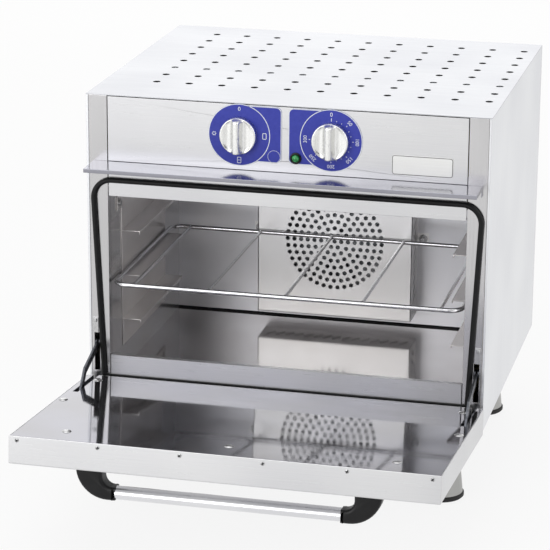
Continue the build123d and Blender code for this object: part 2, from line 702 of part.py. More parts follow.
def fan_impeller():
    """The fan wheel: a disc with bent blades round its edge and a hub on the motor shaft."""
    back = CAVITY_DEPTH - FAN_REAR_GAP
    front = back - FAN_DEPTH
    axis = Plane(origin=(FAN_X, back, FAN_Z), x_dir=(1, 0, 0), z_dir=(0, -1, 0))
    wheel = extrude(axis * Circle(FAN_RADIUS), amount=SHEET)
    wheel += extrude(axis * Circle(FAN_HUB_RADIUS), amount=FAN_DEPTH - SHEET)
    blade = Pos(0.75 * FAN_RADIUS, 0) * Rot(0, 0, BLADE_ANGLE) * Rectangle(BLADE_LENGTH, SHEET)
    blades = Sketch() + [spot * blade for spot in PolarLocations(0, FAN_BLADES)]
    wheel += extrude(axis * blades, amount=FAN_DEPTH)
    shaft = rod((FAN_X, front, FAN_Z), (FAN_X, MOTOR_FRONT + MOTOR_BORE, FAN_Z), FAN_SHAFT_RADIUS)
    return wheel + shaft


def motor_mount():
    """A square cup on the rear wall that holds the motor clear of the wool."""
    half = MOTOR_MOUNT / 2
    rear = CAVITY_DEPTH + SHEET
    cup = block((-half, half), (rear, MOTOR_FRONT), (-half, half))
    cup -= block((-half + SHEET, half - SHEET), (rear, MOTOR_FRONT - SHEET), (-half + SHEET, half - SHEET))
    cup -= rod((0, rear, 0), (0, MOTOR_FRONT, 0), FAN_SHAFT_RADIUS + SHAFT_HOLE_PLAY)
    return Pos(FAN_X, 0, FAN_Z) * cup


def fan_motor():
    """The fan motor: a round can with a bearing nose at the back and the shaft's bore."""
    can = rod((0, MOTOR_FRONT, 0), (0, MOTOR_FRONT + MOTOR_LENGTH, 0), MOTOR_RADIUS)
    can = chamfer(can.edges().filter_by(GeomType.CIRCLE), MOTOR_EDGE)
    tail = MOTOR_FRONT + MOTOR_LENGTH
    can += rod((0, tail, 0), (0, tail + MOTOR_NOSE, 0), MOTOR_RADIUS / 3)
    bore = MOTOR_BORE + BORE_ROOM
    can -= rod((0, MOTOR_FRONT, 0), (0, MOTOR_FRONT + bore, 0), FAN_SHAFT_RADIUS + SHAFT_PLAY)
    return Pos(FAN_X, 0, FAN_Z) * can


def dial_plate(side):
    """A dial plate: a disc with a tab towards the middle, side -1 on the left and 1 on the right."""
    reach = Rectangle(DIAL_TAB_REACH, DIAL_TAB_TOP + DIAL_TAB_BOTTOM, align=(Align.MIN, Align.MIN))
    tab = fillet(reach.vertices().group_by(Axis.X)[-1], DIAL_TAB_CORNER)
    tab = Pos(0, -DIAL_TAB_BOTTOM) * tab
    if side > 0:
        tab = mirror(tab, about=Plane.YZ)
    plate = Pos(side * DIAL_X, DIAL_Z) * (Circle(DIAL_RADIUS) + tab)
    plate -= Pos(side * DIAL_X, DIAL_Z) * Circle(SHAFT_RADIUS + SHAFT_HOLE_PLAY)
    if side > 0:
        plate -= Pos(LAMP_X, LAMP_Z) * Circle(LAMP_BODY_RADIUS + FIT_GAP)
    return across_front(plate, -DIAL_PLATE, DIAL_PLATE)


def knob(x):
    """A round knob with a raised pointer grip, and the control shaft that it turns."""
    seat = -DIAL_PLATE - KNOB_GAP
    face = Plane(origin=(x, seat, DIAL_Z), x_dir=(1, 0, 0), z_dir=(0, -1, 0))
    crown = KNOB_RADIUS - KNOB_DRAFT
    side = [(0, 0), (KNOB_RADIUS, 0), (crown, KNOB_SKIRT - KNOB_EDGE)]
    profile = Polyline(*side, (crown - KNOB_EDGE, KNOB_SKIRT), (0, KNOB_SKIRT), close=True)
    body = face * revolve(Plane.XZ * make_face(profile.edges()), axis=Axis.Z)
    half = KNOB_GRIP_WIDTH / 2
    rise = KNOB_HEIGHT - KNOB_SKIRT
    length = 2 * KNOB_RADIUS - KNOB_EDGE
    corners = ((-half, -KNOB_EDGE), (half, -KNOB_EDGE), (KNOB_RIDGE, rise), (-KNOB_RIDGE, rise))
    section = make_face(Polyline(*corners, close=True).edges())
    foot = (x, seat - KNOB_SKIRT, DIAL_Z - length / 2)
    grip = extrude(Plane(origin=foot, x_dir=(1, 0, 0), z_dir=(0, 0, 1)) * section, amount=length)
    low = Pos(0, -KNOB_EDGE) * Rectangle(2 * length, 2 * length)
    grip &= extrude(face * (Circle(length / 2) & low), amount=KNOB_HEIGHT)
    start = (x, seat - SHAFT_IN_KNOB, DIAL_Z)
    shaft = rod(start, (x, SWITCH_FRONT + SHAFT_IN_SWITCH, DIAL_Z), SHAFT_RADIUS)
    return body + grip + shaft


def control_body(x, width):
    """A switch or thermostat behind the panel, with a bore for its shaft and a row of tags."""
    half = width / 2
    ys = (SWITCH_FRONT, SWITCH_FRONT + SWITCH_DEPTH)
    body = block((x - half, x + half), ys, (DIAL_Z - half, DIAL_Z + half))
    body = fillet(body.edges().filter_by(Axis.Y), SWITCH_CORNER)
    body += rod((x, SHEET, DIAL_Z), (x, SWITCH_FRONT, DIAL_Z), SWITCH_NECK)
    for spot in GridLocations(width / 3, 1, 3, 1):
        place = x + spot.position.X
        tag = (place - TAG_WIDTH / 2, place + TAG_WIDTH / 2)
        body += block(tag, (ys[1], ys[1] + TAG_LENGTH), (DIAL_Z - SHEET / 2, DIAL_Z + SHEET / 2))
    bottom = SWITCH_FRONT + SHAFT_IN_SWITCH + BORE_ROOM
    return body - rod((x, SHEET, DIAL_Z), (x, bottom, DIAL_Z), SHAFT_RADIUS + SHAFT_PLAY)


def lamp_bezel():
    """The lamp's holder: a round bezel on the dial plate with its body behind the panel."""
    back = -DIAL_PLATE
    front = back - LAMP_BEZEL_RISE
    bezel = rod((LAMP_X, front, LAMP_Z), (LAMP_X, back, LAMP_Z), LAMP_BEZEL_RADIUS)
    bezel += rod((LAMP_X, back, LAMP_Z), (LAMP_X, LAMP_DEPTH, LAMP_Z), LAMP_BODY_RADIUS)
    return bezel - rod((LAMP_X, front, LAMP_Z), (LAMP_X, front + LAMP_RECESS, LAMP_Z), LAMP_LENS_RADIUS)


def lamp_lens():
    """The domed lens in the bezel."""
    face = Plane(origin=(LAMP_X, LAMP_RECESS - LAMP_BEZEL_RISE - DIAL_PLATE, LAMP_Z), z_dir=(0, -1, 0))
    angles = [radians(90 * step / LAMP_LENS_STEPS) for step in range(LAMP_LENS_STEPS + 1)]
    dome = [(LAMP_LENS_RADIUS * cos(angle), LAMP_LENS_RADIUS * sin(angle)) for angle in angles]
    profile = Plane.XZ * make_face(Polyline(*dome, (0, 0), close=True).edges())
    return face * revolve(profile, axis=Axis.Z)


def name_plate():
    """A bare plate with rounded corners on the right of the control panel."""
    shape = RectangleRounded(BADGE_WIDTH, BADGE_HEIGHT, BADGE_CORNER)
    return across_front(Pos(BADGE_X, BADGE_Z) * shape, -BADGE_SHEET, BADGE_SHEET)


def cable_gland():
    """The inlet gland in the back panel, with a hexagon, a domed cap, a locknut and its bore."""
    bored = Plane(origin=(GLAND_X, BODY_DEPTH, GLAND_Z), x_dir=(1, 0, 0), z_dir=(0, 1, 0))
    hexagon = RegularPolygon(GLAND_NUT / 2, 6, major_radius=False)
    gland = extrude(bored * hexagon, amount=GLAND_HEX)
    gland += extrude(bored * Circle(GLAND_CAP), amount=GLAND_REACH, taper=3)
    gland += extrude(bored * Circle(GLAND_THREAD), amount=-SHEET - GLAND_INSIDE)
    locknut = Plane(origin=(GLAND_X, BACK_INNER, GLAND_Z), x_dir=(1, 0, 0), z_dir=(0, -1, 0))
    gland += extrude(locknut * hexagon, amount=GLAND_LOCKNUT)
    start = BACK_INNER - GLAND_INSIDE
    return gland - rod((GLAND_X, start, GLAND_Z), (GLAND_X, BODY_DEPTH + GLAND_REACH, GLAND_Z), GLAND_BORE)


def terminal_block():
    """The mains terminal block on the back panel, with a wall between each pair of ways."""
    rear = BACK_INNER
    xs = (TERMINAL_X - TERMINAL_WIDTH / 2, TERMINAL_X + TERMINAL_WIDTH / 2)
    foot = GLAND_Z - TERMINAL_HEIGHT / 2
    base = block(xs, (rear - TERMINAL_DEPTH, rear), (foot, foot + TERMINAL_HEIGHT))
    cell = TERMINAL_WIDTH / TERMINAL_WAYS
    for spot in GridLocations(cell, 1, TERMINAL_WAYS, 1):
        x = TERMINAL_X + spot.position.X
        notch = (rear - TERMINAL_DEPTH, rear - TERMINAL_DEPTH / 2)
        low = (GLAND_Z - TERMINAL_HEIGHT / 2, GLAND_Z - TERMINAL_HEIGHT / 5)
        high = (GLAND_Z + TERMINAL_HEIGHT / 5, GLAND_Z + TERMINAL_HEIGHT / 2)
        for zs in (low, high):
            base -= block((x - cell / 2 + SHEET, x + cell / 2 - SHEET), notch, zs)
    return base


def back_screws():
    """The screws round the edge of the back panel."""
    inset = EDGE_FLANGE / 2
    heads = []
    for z in (3 * inset, BODY_HEIGHT / 2, COVER_UNDERSIDE - 3 * inset):
        heads += on_both_sides(screw(HALF_WIDTH - inset, BODY_DEPTH, z, (0, 1, 0)))
    return heads


def foot_places():
    """The centres of the four feet."""
    across = HALF_WIDTH - FOOT_INSET_X
    rear = BODY_DEPTH - FOOT_INSET_Y
    return [(x, y) for y in (FOOT_INSET_Y, rear) for x in (-across, across)]


def feet():
    """Four hollow tapered legs with a chamfered top under the body."""
    low = FOOT_PAD_HEIGHT - FOOT_HEIGHT
    line = Polyline(
        (0, 0),
        (FOOT_TOP_RADIUS - FOOT_CHAMFER, 0),
        (FOOT_TOP_RADIUS, -FOOT_COLLAR),
        (FOOT_BASE_RADIUS, low),
        (FOOT_BASE_RADIUS - FOOT_WALL, low),
        (FOOT_TOP_RADIUS - FOOT_WALL, -FOOT_COLLAR),
        (0, -FOOT_COLLAR),
        close=True,
    )
    leg = revolve(Plane.XZ * make_face(line.edges()), axis=Axis.Z)
    return [Pos(x, y, 0) * leg for x, y in foot_places()]


def foot_pads():
    """Four rubber pads that the oven stands on."""
    ring = Cylinder(FOOT_PAD_RADIUS, FOOT_PAD_HEIGHT, align=(Align.CENTER, Align.CENTER, Align.MIN))
    pad = chamfer(ring.edges().filter_by(GeomType.CIRCLE), FOOT_PAD_EDGE)
    return [Pos(x, y, -FOOT_HEIGHT) * pad for x, y in foot_places()]


def foot_studs():
    """The threaded stud of each foot, with its nut above the base pan."""
    stud = Cylinder(STUD_RADIUS, STUD_ABOVE_PAN, align=(Align.CENTER, Align.CENTER, Align.MIN))
    nut = extrude(RegularPolygon(NUT_WIDTH / 2, 6, major_radius=False), amount=NUT_HEIGHT)
    return [Pos(x, y, 0) * (stud + Pos(0, 0, SHEET) * nut) for x, y in foot_places()]


def hinge_arm():
    """The right hinge arm: an eye in front of the body and a plate with a foot on the base pan."""
    eye = Pos(PIVOT_Y, PIVOT_Z) * Circle(HINGE_EYE_RADIUS)
    middle = (Align.MIN, Align.CENTER)
    neck = Pos(PIVOT_Y, PIVOT_Z) * Rectangle(HINGE_NECK - PIVOT_Y, 2 * HINGE_EYE_RADIUS, align=middle)
    inside = SHEET + FIT_GAP
    corner = (Align.MIN, Align.MIN)
    plate = Pos(inside, SHEET) * Rectangle(HINGE_REAR, HINGE_PLATE_TOP - SHEET, align=corner)
    hole = Pos(PIVOT_Y, PIVOT_Z) * Circle(HINGE_PIN_RADIUS + PRESS_GAP)
    arm = side_profile(eye + neck + plate - hole, HINGE_X - HINGE_ARM / 2, HINGE_ARM)
    foot_x = (HINGE_X - HINGE_FOOT_REACH, HINGE_X - HINGE_ARM / 2)
    return arm + block(foot_x, (inside, HINGE_REAR), (SHEET, SHEET + HINGE_FOOT))


def hinge_pin():
    """The right hinge pin through the eye and both cheeks of the door's channel."""
    half = CHANNEL_INNER / 2 + CHANNEL_SHEET + PIN_END
    return rod((HINGE_X - half, PIVOT_Y, PIVOT_Z), (HINGE_X + half, PIVOT_Y, PIVOT_Z), HINGE_PIN_RADIUS)


def stay_pin_place():
    """The stay's pin on the closed door, as y and z."""
    return DOOR_INNER_Y - STAY_PIN_DEPTH, DOOR_BOTTOM + STAY_PIN_RISE


def stay_pin_open():
    """The stay's pin with the door open, as y and z."""
    y, z = stay_pin_place()
    angle = radians(DOOR_OPEN_ANGLE)
    across = y - PIVOT_Y
    up = z - PIVOT_Z
    turned_y = PIVOT_Y + across * cos(angle) - up * sin(angle)
    return turned_y, PIVOT_Z + across * sin(angle) + up * cos(angle)


def hinge_channel():
    """The right channel inside the door, bored for the hinge pin and holding the stay's pin."""
    half = CHANNEL_INNER / 2 + CHANNEL_SHEET
    ys = (DOOR_OUTER_Y + DOOR_SHEET, DOOR_INNER_Y - DOOR_SHEET)
    zs = (DOOR_BOTTOM + 2 * DOOR_SHEET + FIT_GAP, CHANNEL_TOP)
    channel = block((HINGE_X - half, HINGE_X + half), ys, zs)
    inner = CHANNEL_INNER / 2
    channel -= block((HINGE_X - inner, HINGE_X + inner), (ys[0] + CHANNEL_SHEET, ys[1]), zs)
    y, z = stay_pin_place()
    left = HINGE_X - half
    right = HINGE_X + half
    channel -= rod((left, PIVOT_Y, PIVOT_Z), (right, PIVOT_Y, PIVOT_Z), HINGE_PIN_RADIUS + PIN_PLAY)
    return channel - rod((left, y, z), (right, y, z), STAY_PIN_RADIUS + PRESS_GAP)


def stay_pin():
    """The right stay's pin, drawn on the closed door."""
    y, z = stay_pin_place()
    half = CHANNEL_INNER / 2 + CHANNEL_SHEET + PIN_END
    return rod((HINGE_X - half, y, z), (HINGE_X + half, y, z), STAY_PIN_RADIUS)


def stay_arm():
    """The right stay: a bent plate from the door's pin to a stop behind the pillar's slot."""
    stop = (SHEET + STAY_STOP_RADIUS + FIT_GAP, STAY_STOP_Z)
    line = Polyline(stay_pin_open(), STAY_KNEE, stop)
    outline = offset(line, amount=STAY_HALF_WIDTH, side=Side.BOTH)
    y, z = stay_pin_open()
    face = make_face(outline.edges()) - Pos(y, z) * Circle(STAY_PIN_RADIUS + PIN_PLAY)
    arm = side_profile(face, HINGE_X - STAY_PLATE / 2, STAY_PLATE)
    half = STAY_STOP_WIDTH / 2
    return arm + rod((HINGE_X - half, *stop), (HINGE_X + half, *stop), STAY_STOP_RADIUS)


def stay_guide():
    """The plate over the right slot, held by one screw."""
    xs = (GUIDE_X - GUIDE_WIDTH / 2, GUIDE_X + GUIDE_WIDTH / 2)
    plate = block(xs, (-GUIDE_SHEET, 0), (STAY_SLOT_TOP, GUIDE_TOP))
    top = GUIDE_TOP - GUIDE_WIDTH / 2
    return plate + screw(GUIDE_X, -GUIDE_SHEET, top, (0, -1, 0))


def hinge_notch(xs):
    """The space that the hinge arm and the stay need through the closed door's shell."""
    ys = (PIVOT_Y - HINGE_EYE_RADIUS - 1.5, DOOR_INNER_Y)
    low = (DOOR_BOTTOM, PIVOT_Z)
    slot = (DOOR_BOTTOM, CHANNEL_TOP)
    return block(xs, ys, low) + block(xs, (DOOR_INNER_Y - DOOR_SHEET, DOOR_INNER_Y), slot)


def door_outer():
    """The door's outer shell: a deep tray, notched for the hinges."""
    sheet = DOOR_SHEET
    shell = block((-HALF_DOOR, HALF_DOOR), (DOOR_OUTER_Y, DOOR_INNER_Y), (DOOR_BOTTOM, DOOR_TOP))
    shell = fillet(shell.faces().sort_by(Axis.Y)[0].edges(), DOOR_EDGE)
    hollow = (HALF_DOOR - sheet, DOOR_OUTER_Y + sheet, DOOR_BOTTOM + sheet, DOOR_TOP - sheet)
    shell -= block((-hollow[0], hollow[0]), (hollow[1], DOOR_INNER_Y), (hollow[2], hollow[3]))
    xs = (HINGE_X - HINGE_SLOT / 2, HINGE_X + HINGE_SLOT / 2)
    for side in on_both_sides(hinge_notch(xs)):
        shell -= side
    return shell


def door_inner():
    """The polished inner panel: a shallow tray inside the outer shell, slotted at the hinges."""
    sheet = DOOR_SHEET
    half = HALF_DOOR - sheet - FIT_GAP
    zs = (DOOR_BOTTOM + sheet + FIT_GAP, DOOR_TOP - sheet - FIT_GAP)
    front = DOOR_INNER_Y - sheet - INNER_FLANGE
    panel = block((-half, half), (front, DOOR_INNER_Y), zs)
    hollow = (front, DOOR_INNER_Y - sheet)
    panel -= block((-half + sheet, half - sheet), hollow, (zs[0] + sheet, zs[1] - sheet))
    xs = (HINGE_X - HINGE_SLOT / 2, HINGE_X + HINGE_SLOT / 2)
    for side in on_both_sides(hinge_notch(xs)):
        panel -= side
    return panel


def door_wool():
    """The slab of mineral wool inside the door."""
    half = HINGE_X - CHANNEL_INNER / 2 - CHANNEL_SHEET - PIN_END - FIT_GAP
    ys = (DOOR_OUTER_Y + DOOR_SHEET + FIT_GAP, DOOR_INNER_Y - DOOR_SHEET - FIT_GAP)
    clear = 2 * DOOR_SHEET + 2 * FIT_GAP
    return block((-half, half), ys, (DOOR_BOTTOM + clear, DOOR_TOP - clear))


def door_screws():
    """The screws along the door's top edge and on its inner panel."""
    heads = []
    for spot in GridLocations(RIM_SCREW_PITCH, 1, RIM_SCREW_COUNT, 1):
        heads.append(screw(spot.position.X, DOOR_INNER_Y - RIM_SCREW_DEPTH, DOOR_TOP, (0, 0, 1)))
    places = (
        (PANEL_SCREW_SIDE_INSET, PANEL_SCREW_SIDE_RISE),
        (PANEL_SCREW_TOP_INSET, PANEL_SCREW_TOP_RISE),
        (PANEL_SCREW_LOW_INSET, PANEL_SCREW_LOW_RISE),
    )
    for inset, rise in places:
        heads += on_both_sides(screw(HALF_DOOR - inset, DOOR_INNER_Y, DOOR_BOTTOM + rise, (0, 1, 0)))
    heads.append(screw(0, DOOR_INNER_Y, DOOR_BOTTOM + PANEL_SCREW_TOP_RISE, (0, 1, 0)))
    return heads


def handle_bar():
    """The oval bar of the handle, let into both brackets."""
    section = Ellipse(HANDLE_BAR_DEPTH / 2, HANDLE_BAR_HEIGHT / 2)
    centre = Pos(DOOR_OUTER_Y - HANDLE_STANDOFF, DOOR_TOP - HANDLE_FROM_TOP)
    half = HANDLE_BAR_HALF + HANDLE_SOCKET
    return side_profile(centre * section, -half, 2 * half)


def handle_bracket(bar):
    """The right handle bracket: a foot on the door, bent inwards to hold the bar."""
    face = DOOR_OUTER_Y
    outer = face - HANDLE_STANDOFF - HANDLE_BAR_DEPTH / 2
    inner = face - HANDLE_STANDOFF + HANDLE_BAR_DEPTH / 2
    leg = HANDLE_HALF - HANDLE_LEG_WIDTH
    foot = [(leg, face), (HANDLE_HALF, face)]
    arm = [(HANDLE_HALF, outer), (HANDLE_BAR_HALF, outer), (HANDLE_BAR_HALF, inner), (leg, inner)]
    corners = foot + arm
    shape = make_face(Polyline(*corners, close=True).edges())
    shape = fillet(shape.vertices().sort_by_distance((HANDLE_HALF, outer))[0], HANDLE_BEND)
    shape = fillet(shape.vertices().sort_by_distance((leg, inner))[0], HANDLE_INNER_BEND)
    middle = DOOR_TOP - HANDLE_FROM_TOP
    bracket = extrude(Pos(0, 0, middle) * shape, amount=HANDLE_BRACKET_HEIGHT / 2, both=True)
    return bracket - bar


def oven_body():
    """The nodes that stay with the body."""
    nodes = {
        "top_cover": top_cover(),
        "cross_brace": cross_brace(),
        "back_panel": back_panel(),
        "base_pan": base_pan(),
        "control_panel": control_panel(),
        "canopy": canopy(),
        "front_header": front_header(),
        "door_sill": door_sill(),
        "cavity_walls": on_both_sides(cavity_wall()),
        "cavity_floor": cavity_sheet(CAVITY_FLOOR - SHEET),
        "cavity_ceiling": cavity_sheet(CAVITY_CEILING),
        "cavity_rear": cavity_rear(),
        "fan_baffle": fan_baffle(),
        "baffle_nuts": baffle_nuts(),
        "rack_plates": on_both_sides(rack_plate()),
        "rack_pins": rack_pins(),
        "door_gasket": door_gasket(),
        "body_wool": body_wool(),
        "heating_element": heating_element(),
        "motor_mount": motor_mount(),
        "fan_motor": fan_motor(),
        "function_switch": control_body(-DIAL_X, SWITCH_WIDTH),
        "thermostat": control_body(DIAL_X, THERMOSTAT_WIDTH),
        "dial_plate_left": dial_plate(-1),
        "dial_plate_right": dial_plate(1),
        "lamp_bezel": lamp_bezel(),
        "lamp_lens": lamp_lens(),
        "name_plate": name_plate(),
        "cable_gland": cable_gland(),
        "terminal_block": terminal_block(),
        "back_screws": back_screws(),
        "feet": feet(),
        "foot_pads": foot_pads(),
        "foot_studs": foot_studs(),
        "hinge_arms": on_both_sides(hinge_arm()),
        "hinge_pins": on_both_sides(hinge_pin()),
        "stay_guides": on_both_sides(stay_guide()),
    }
    sides = {"right": 0, "left": 1}
    pairs = {"side_panel": on_both_sides(side_panel()), "pillar": on_both_sides(pillar())}
    ledges = [on_both_sides(ledge) for ledge in rack_ledges()]
    for side, index in sides.items():
        for name, pair in pairs.items():
            nodes[name + "_" + side] = pair[index]
        nodes["rack_ledges_" + side] = [pair[index] for pair in ledges]
    return nodes


def door():
    """The nodes of the door, drawn closed and turned down about the hinge pins."""
    bar = handle_bar()
    brackets = on_both_sides(handle_bracket(bar))
    closed = {
        "door_outer": door_outer(),
        "door_inner": door_inner(),
        "door_wool": door_wool(),
        "door_screws": door_screws(),
        "hinge_channels": on_both_sides(hinge_channel()),
        "stay_pins": on_both_sides(stay_pin()),
        "handle_bar": bar,
        "handle_bracket_right": brackets[0],
        "handle_bracket_left": brackets[1],
    }
    return {name: [turned_down(piece) for piece in as_list(shape)] for name, shape in closed.items()}


def moving_parts():
    """The nodes that move on their own: stays, knobs, fan and shelf."""
    frame = shelf_frame()
    stays = on_both_sides(stay_arm())
    return {
        "stay_arm_right": stays[0],
        "stay_arm_left": stays[1],
        "function_knob": knob(-DIAL_X),
        "thermostat_knob": knob(DIAL_X),
        "fan_impeller": fan_impeller(),
        "shelf_frame": frame,
        "shelf_rods": shelf_rods(frame),
    }


def as_list(shape):
    """One shape or a list of shapes, as a list."""
    return shape if isinstance(shape, list) else [shape]


def placement():
    """The move that puts the origin on the floor, in the middle of the open oven's outline."""
    angle = radians(90 - DOOR_OPEN_ANGLE)
    corner = DOOR_TOP - PIVOT_Z
    depth = DOOR_OUTER_Y - PIVOT_Y
    front = PIVOT_Y - corner * cos(angle) + depth * sin(angle)
    rear = BODY_DEPTH + GLAND_REACH
    return Pos(0, -(front + rear) / 2, FOOT_HEIGHT)


def main():
    """Write one file for each node."""
    os.makedirs("parts", exist_ok=True)
    place = placement()
    for nodes in (oven_body(), door(), moving_parts()):
        for name, shape in nodes.items():
            solids = [place * solid for piece in as_list(shape) for solid in piece.solids()]
            export_step(Compound(children=solids), os.path.join("parts", name + ".step"))


main()
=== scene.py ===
"""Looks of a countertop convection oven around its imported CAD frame.

Pieces are drawn in millimetres in the oven's own drawing axes: x across the front with 0 in the
middle, y back from the front plane and z up from the underside of the body. Joiner turns these
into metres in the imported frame, gives every piece its finish and lets it ride on its body.
"""

from __future__ import annotations

import json
import logging
import math
from collections.abc import Iterable, Sequence
from dataclasses import dataclass, field
from enum import Enum

import bmesh
import bpy
from mathutils import Matrix, Vector, noise


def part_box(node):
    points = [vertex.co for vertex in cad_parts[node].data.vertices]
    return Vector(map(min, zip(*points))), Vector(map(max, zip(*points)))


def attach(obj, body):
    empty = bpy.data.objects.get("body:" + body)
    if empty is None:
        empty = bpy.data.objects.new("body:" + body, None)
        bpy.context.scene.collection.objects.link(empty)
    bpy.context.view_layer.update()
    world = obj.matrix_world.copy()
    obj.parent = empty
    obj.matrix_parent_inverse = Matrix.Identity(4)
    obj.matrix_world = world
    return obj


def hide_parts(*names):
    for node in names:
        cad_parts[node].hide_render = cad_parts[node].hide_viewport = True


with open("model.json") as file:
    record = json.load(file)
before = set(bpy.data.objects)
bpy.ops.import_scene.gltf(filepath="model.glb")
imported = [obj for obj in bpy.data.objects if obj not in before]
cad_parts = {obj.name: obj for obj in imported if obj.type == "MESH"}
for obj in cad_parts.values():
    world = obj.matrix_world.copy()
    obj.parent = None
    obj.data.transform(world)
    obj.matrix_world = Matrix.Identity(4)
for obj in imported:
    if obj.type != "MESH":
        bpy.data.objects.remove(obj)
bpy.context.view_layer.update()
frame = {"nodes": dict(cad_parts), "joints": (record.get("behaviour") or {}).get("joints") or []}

LOG = logging.getLogger("countertop_oven")
MM = 0.001
BODY_HEIGHT = 471.0
UP = Vector((0, 0, 1))
OUT = Vector((0, -1, 0))
Pair = tuple[float, float]
Triple = tuple[float, float, float]
Socket = bpy.types.NodeSocket
Tree = bpy.types.NodeTree


# Colours and nodes


def linear(colour: str) -> tuple[float, float, float, float]:
    """Turn an sRGB hex colour into linear RGBA.

    Args:
        colour: The colour as "#RRGGBB".

    Returns:
        The linear red, green and blue with an alpha of 1.
    """
    parts = [int(colour[i : i + 2], 16) / 255 for i in (1, 3, 5)]
    red, green, blue = (c / 12.92 if c <= 0.04045 else ((c + 0.055) / 1.055) ** 2.4 for c in parts)
    return red, green, blue, 1.0


def add_node(
    tree: Tree,
    kind: str,
    settings: dict[str, object] | None = None,
    inputs: dict[str | int, object] | None = None,
) -> bpy.types.Node:
    """Add a node to a tree with its settings, values and links.

    Args:
        tree: The node tree.
        kind: The node's type name.
        settings: Properties to set on the node.
        inputs: For each input, by name or index, a value or the socket it is linked from.

    Returns:
        The new node.
    """
    node = tree.nodes.new(kind)
    for name, value in (settings or {}).items():
        setattr(node, name, value)
    for name, value in (inputs or {}).items():
        if isinstance(value, Socket):
            tree.links.new(value, node.inputs[name])
        else:
            node.inputs[name].default_value = value
    return node


@dataclass
class Surface:
    """A material in the making: its nodes, its shader and the point on the piece, in metres."""

    tree: Tree
    shader: bpy.types.Node
    where: Socket

    def speckle(self, size: Triple, detail: float = 2.0) -> Socket:
        """Return a noise value whose features have a real size.

        Args:
            size: The size of a feature along x, y and z, in millimetres.
            detail: Finer layers on top of that size.

        Returns:
            The noise value, from 0 to 1 about 0.5.
        """
        scale = tuple(1 / (MM * s) for s in size)
        mapping = add_node(self.tree, "ShaderNodeMapping", None, {"Vector": self.where, "Scale": scale})
        inputs = {"Vector": mapping.outputs["Vector"], "Scale": 1.0, "Detail": detail}
        return add_node(self.tree, "ShaderNodeTexNoise", None, inputs).outputs["Fac"]

    def between(self, value: Socket, low: float, high: float, span: Pair = (0.3, 0.7)) -> Socket:
        """Return value moved from its span to low..high."""
        limits = {"Value": value, "From Min": span[0], "From Max": span[1], "To Min": low, "To Max": high}
        return add_node(self.tree, "ShaderNodeMapRange", None, limits).outputs["Result"]

    def link(self, value: Socket, name: str) -> None:
        """Link a value to one of the shader's inputs."""
        self.tree.links.new(value, self.shader.inputs[name])

    def tint(self, value: Socket, finish: Finish) -> None:
        """Colour the surface between the finish's two colours, as value picks.

        Args:
            value: The value that picks, from 0 to 1.
            finish: The finish with the two colours.
        """
        pick = {"Factor": value, 6: linear(finish.colour), 7: linear(finish.second)}
        mix = add_node(self.tree, "ShaderNodeMix", {"data_type": "RGBA"}, pick)
        self.link(mix.outputs[2], "Base Color")

    def relief(self, value: Socket, depth: float) -> None:
        """Bump the surface by value, to a real depth in millimetres."""
        inputs = {"Strength": 1.0, "Distance": depth * MM, "Height": value}
        self.link(add_node(self.tree, "ShaderNodeBump", None, inputs).outputs["Normal"], "Normal")


# Finishes


@dataclass(frozen=True)
class Finish:
    """A real surface: its colour, shine and the pattern that its making leaves.

    Its marks pick a place between the two colours and, where shine is given, the roughness
    between two values. Relief is the depth of the marks, or of a separate fine skin.
    Sizes are in millimetres.
    """

    colour: str = "#808080"
    roughness: float = 0.5
    metallic: float = 0.0
    second: str = "#707070"
    marks: Triple = (5.0, 5.0, 5.0)
    detail: float = 3.0
    span: Pair = (0.3, 0.7)
    shine: Pair | None = None
    relief: float = 0.0
    skin: float = 0.0
    skin_detail: float = 2.0
    specular: float = 0.5
    coat: float = 0.0

    def material(self) -> bpy.types.Material:
        """Return the Blender material of this finish, made once and then shared.

        Returns:
            The material.
        """
        if self in MADE:
            return MADE[self]
        made = bpy.data.materials.new(f"{type(self).__name__}_{len(MADE):02d}")
        MADE[self] = made
        made.use_nodes = True
        made.diffuse_color = linear(self.colour)
        shader = made.node_tree.nodes["Principled BSDF"]
        shader.inputs["Base Color"].default_value = linear(self.colour)
        shader.inputs["Roughness"].default_value = self.roughness
        shader.inputs["Metallic"].default_value = self.metallic
        shader.inputs["Specular IOR Level"].default_value = self.specular
        shader.inputs["Coat Weight"].default_value = self.coat
        where = add_node(made.node_tree, "ShaderNodeTexCoord").outputs["Object"]
        self.dress(Surface(made.node_tree, shader, where))
        return made

    def dress(self, surface: Surface) -> None:
        """Add the marks, with their colour, shine and relief.

        Args:
            surface: The material in the making.
        """
        marks = surface.speckle(self.marks, self.detail)
        surface.tint(surface.between(marks, 0, 1, self.span), self)
        if self.shine:
            surface.link(surface.between(marks, *self.shine), "Roughness")
        if self.skin:
            surface.relief(surface.speckle((self.skin,) * 3, self.skin_detail), self.relief)
        elif self.relief:
            surface.relief(marks, self.relief)


MADE: dict[Finish, bpy.types.Material] = {}


class Grain(Enum):
    """The way the brush ran over a sheet: the long side of each line, in millimetres."""

    ACROSS = (90.0, 1.1, 1.1)
    UPRIGHT = (1.1, 1.1, 90.0)


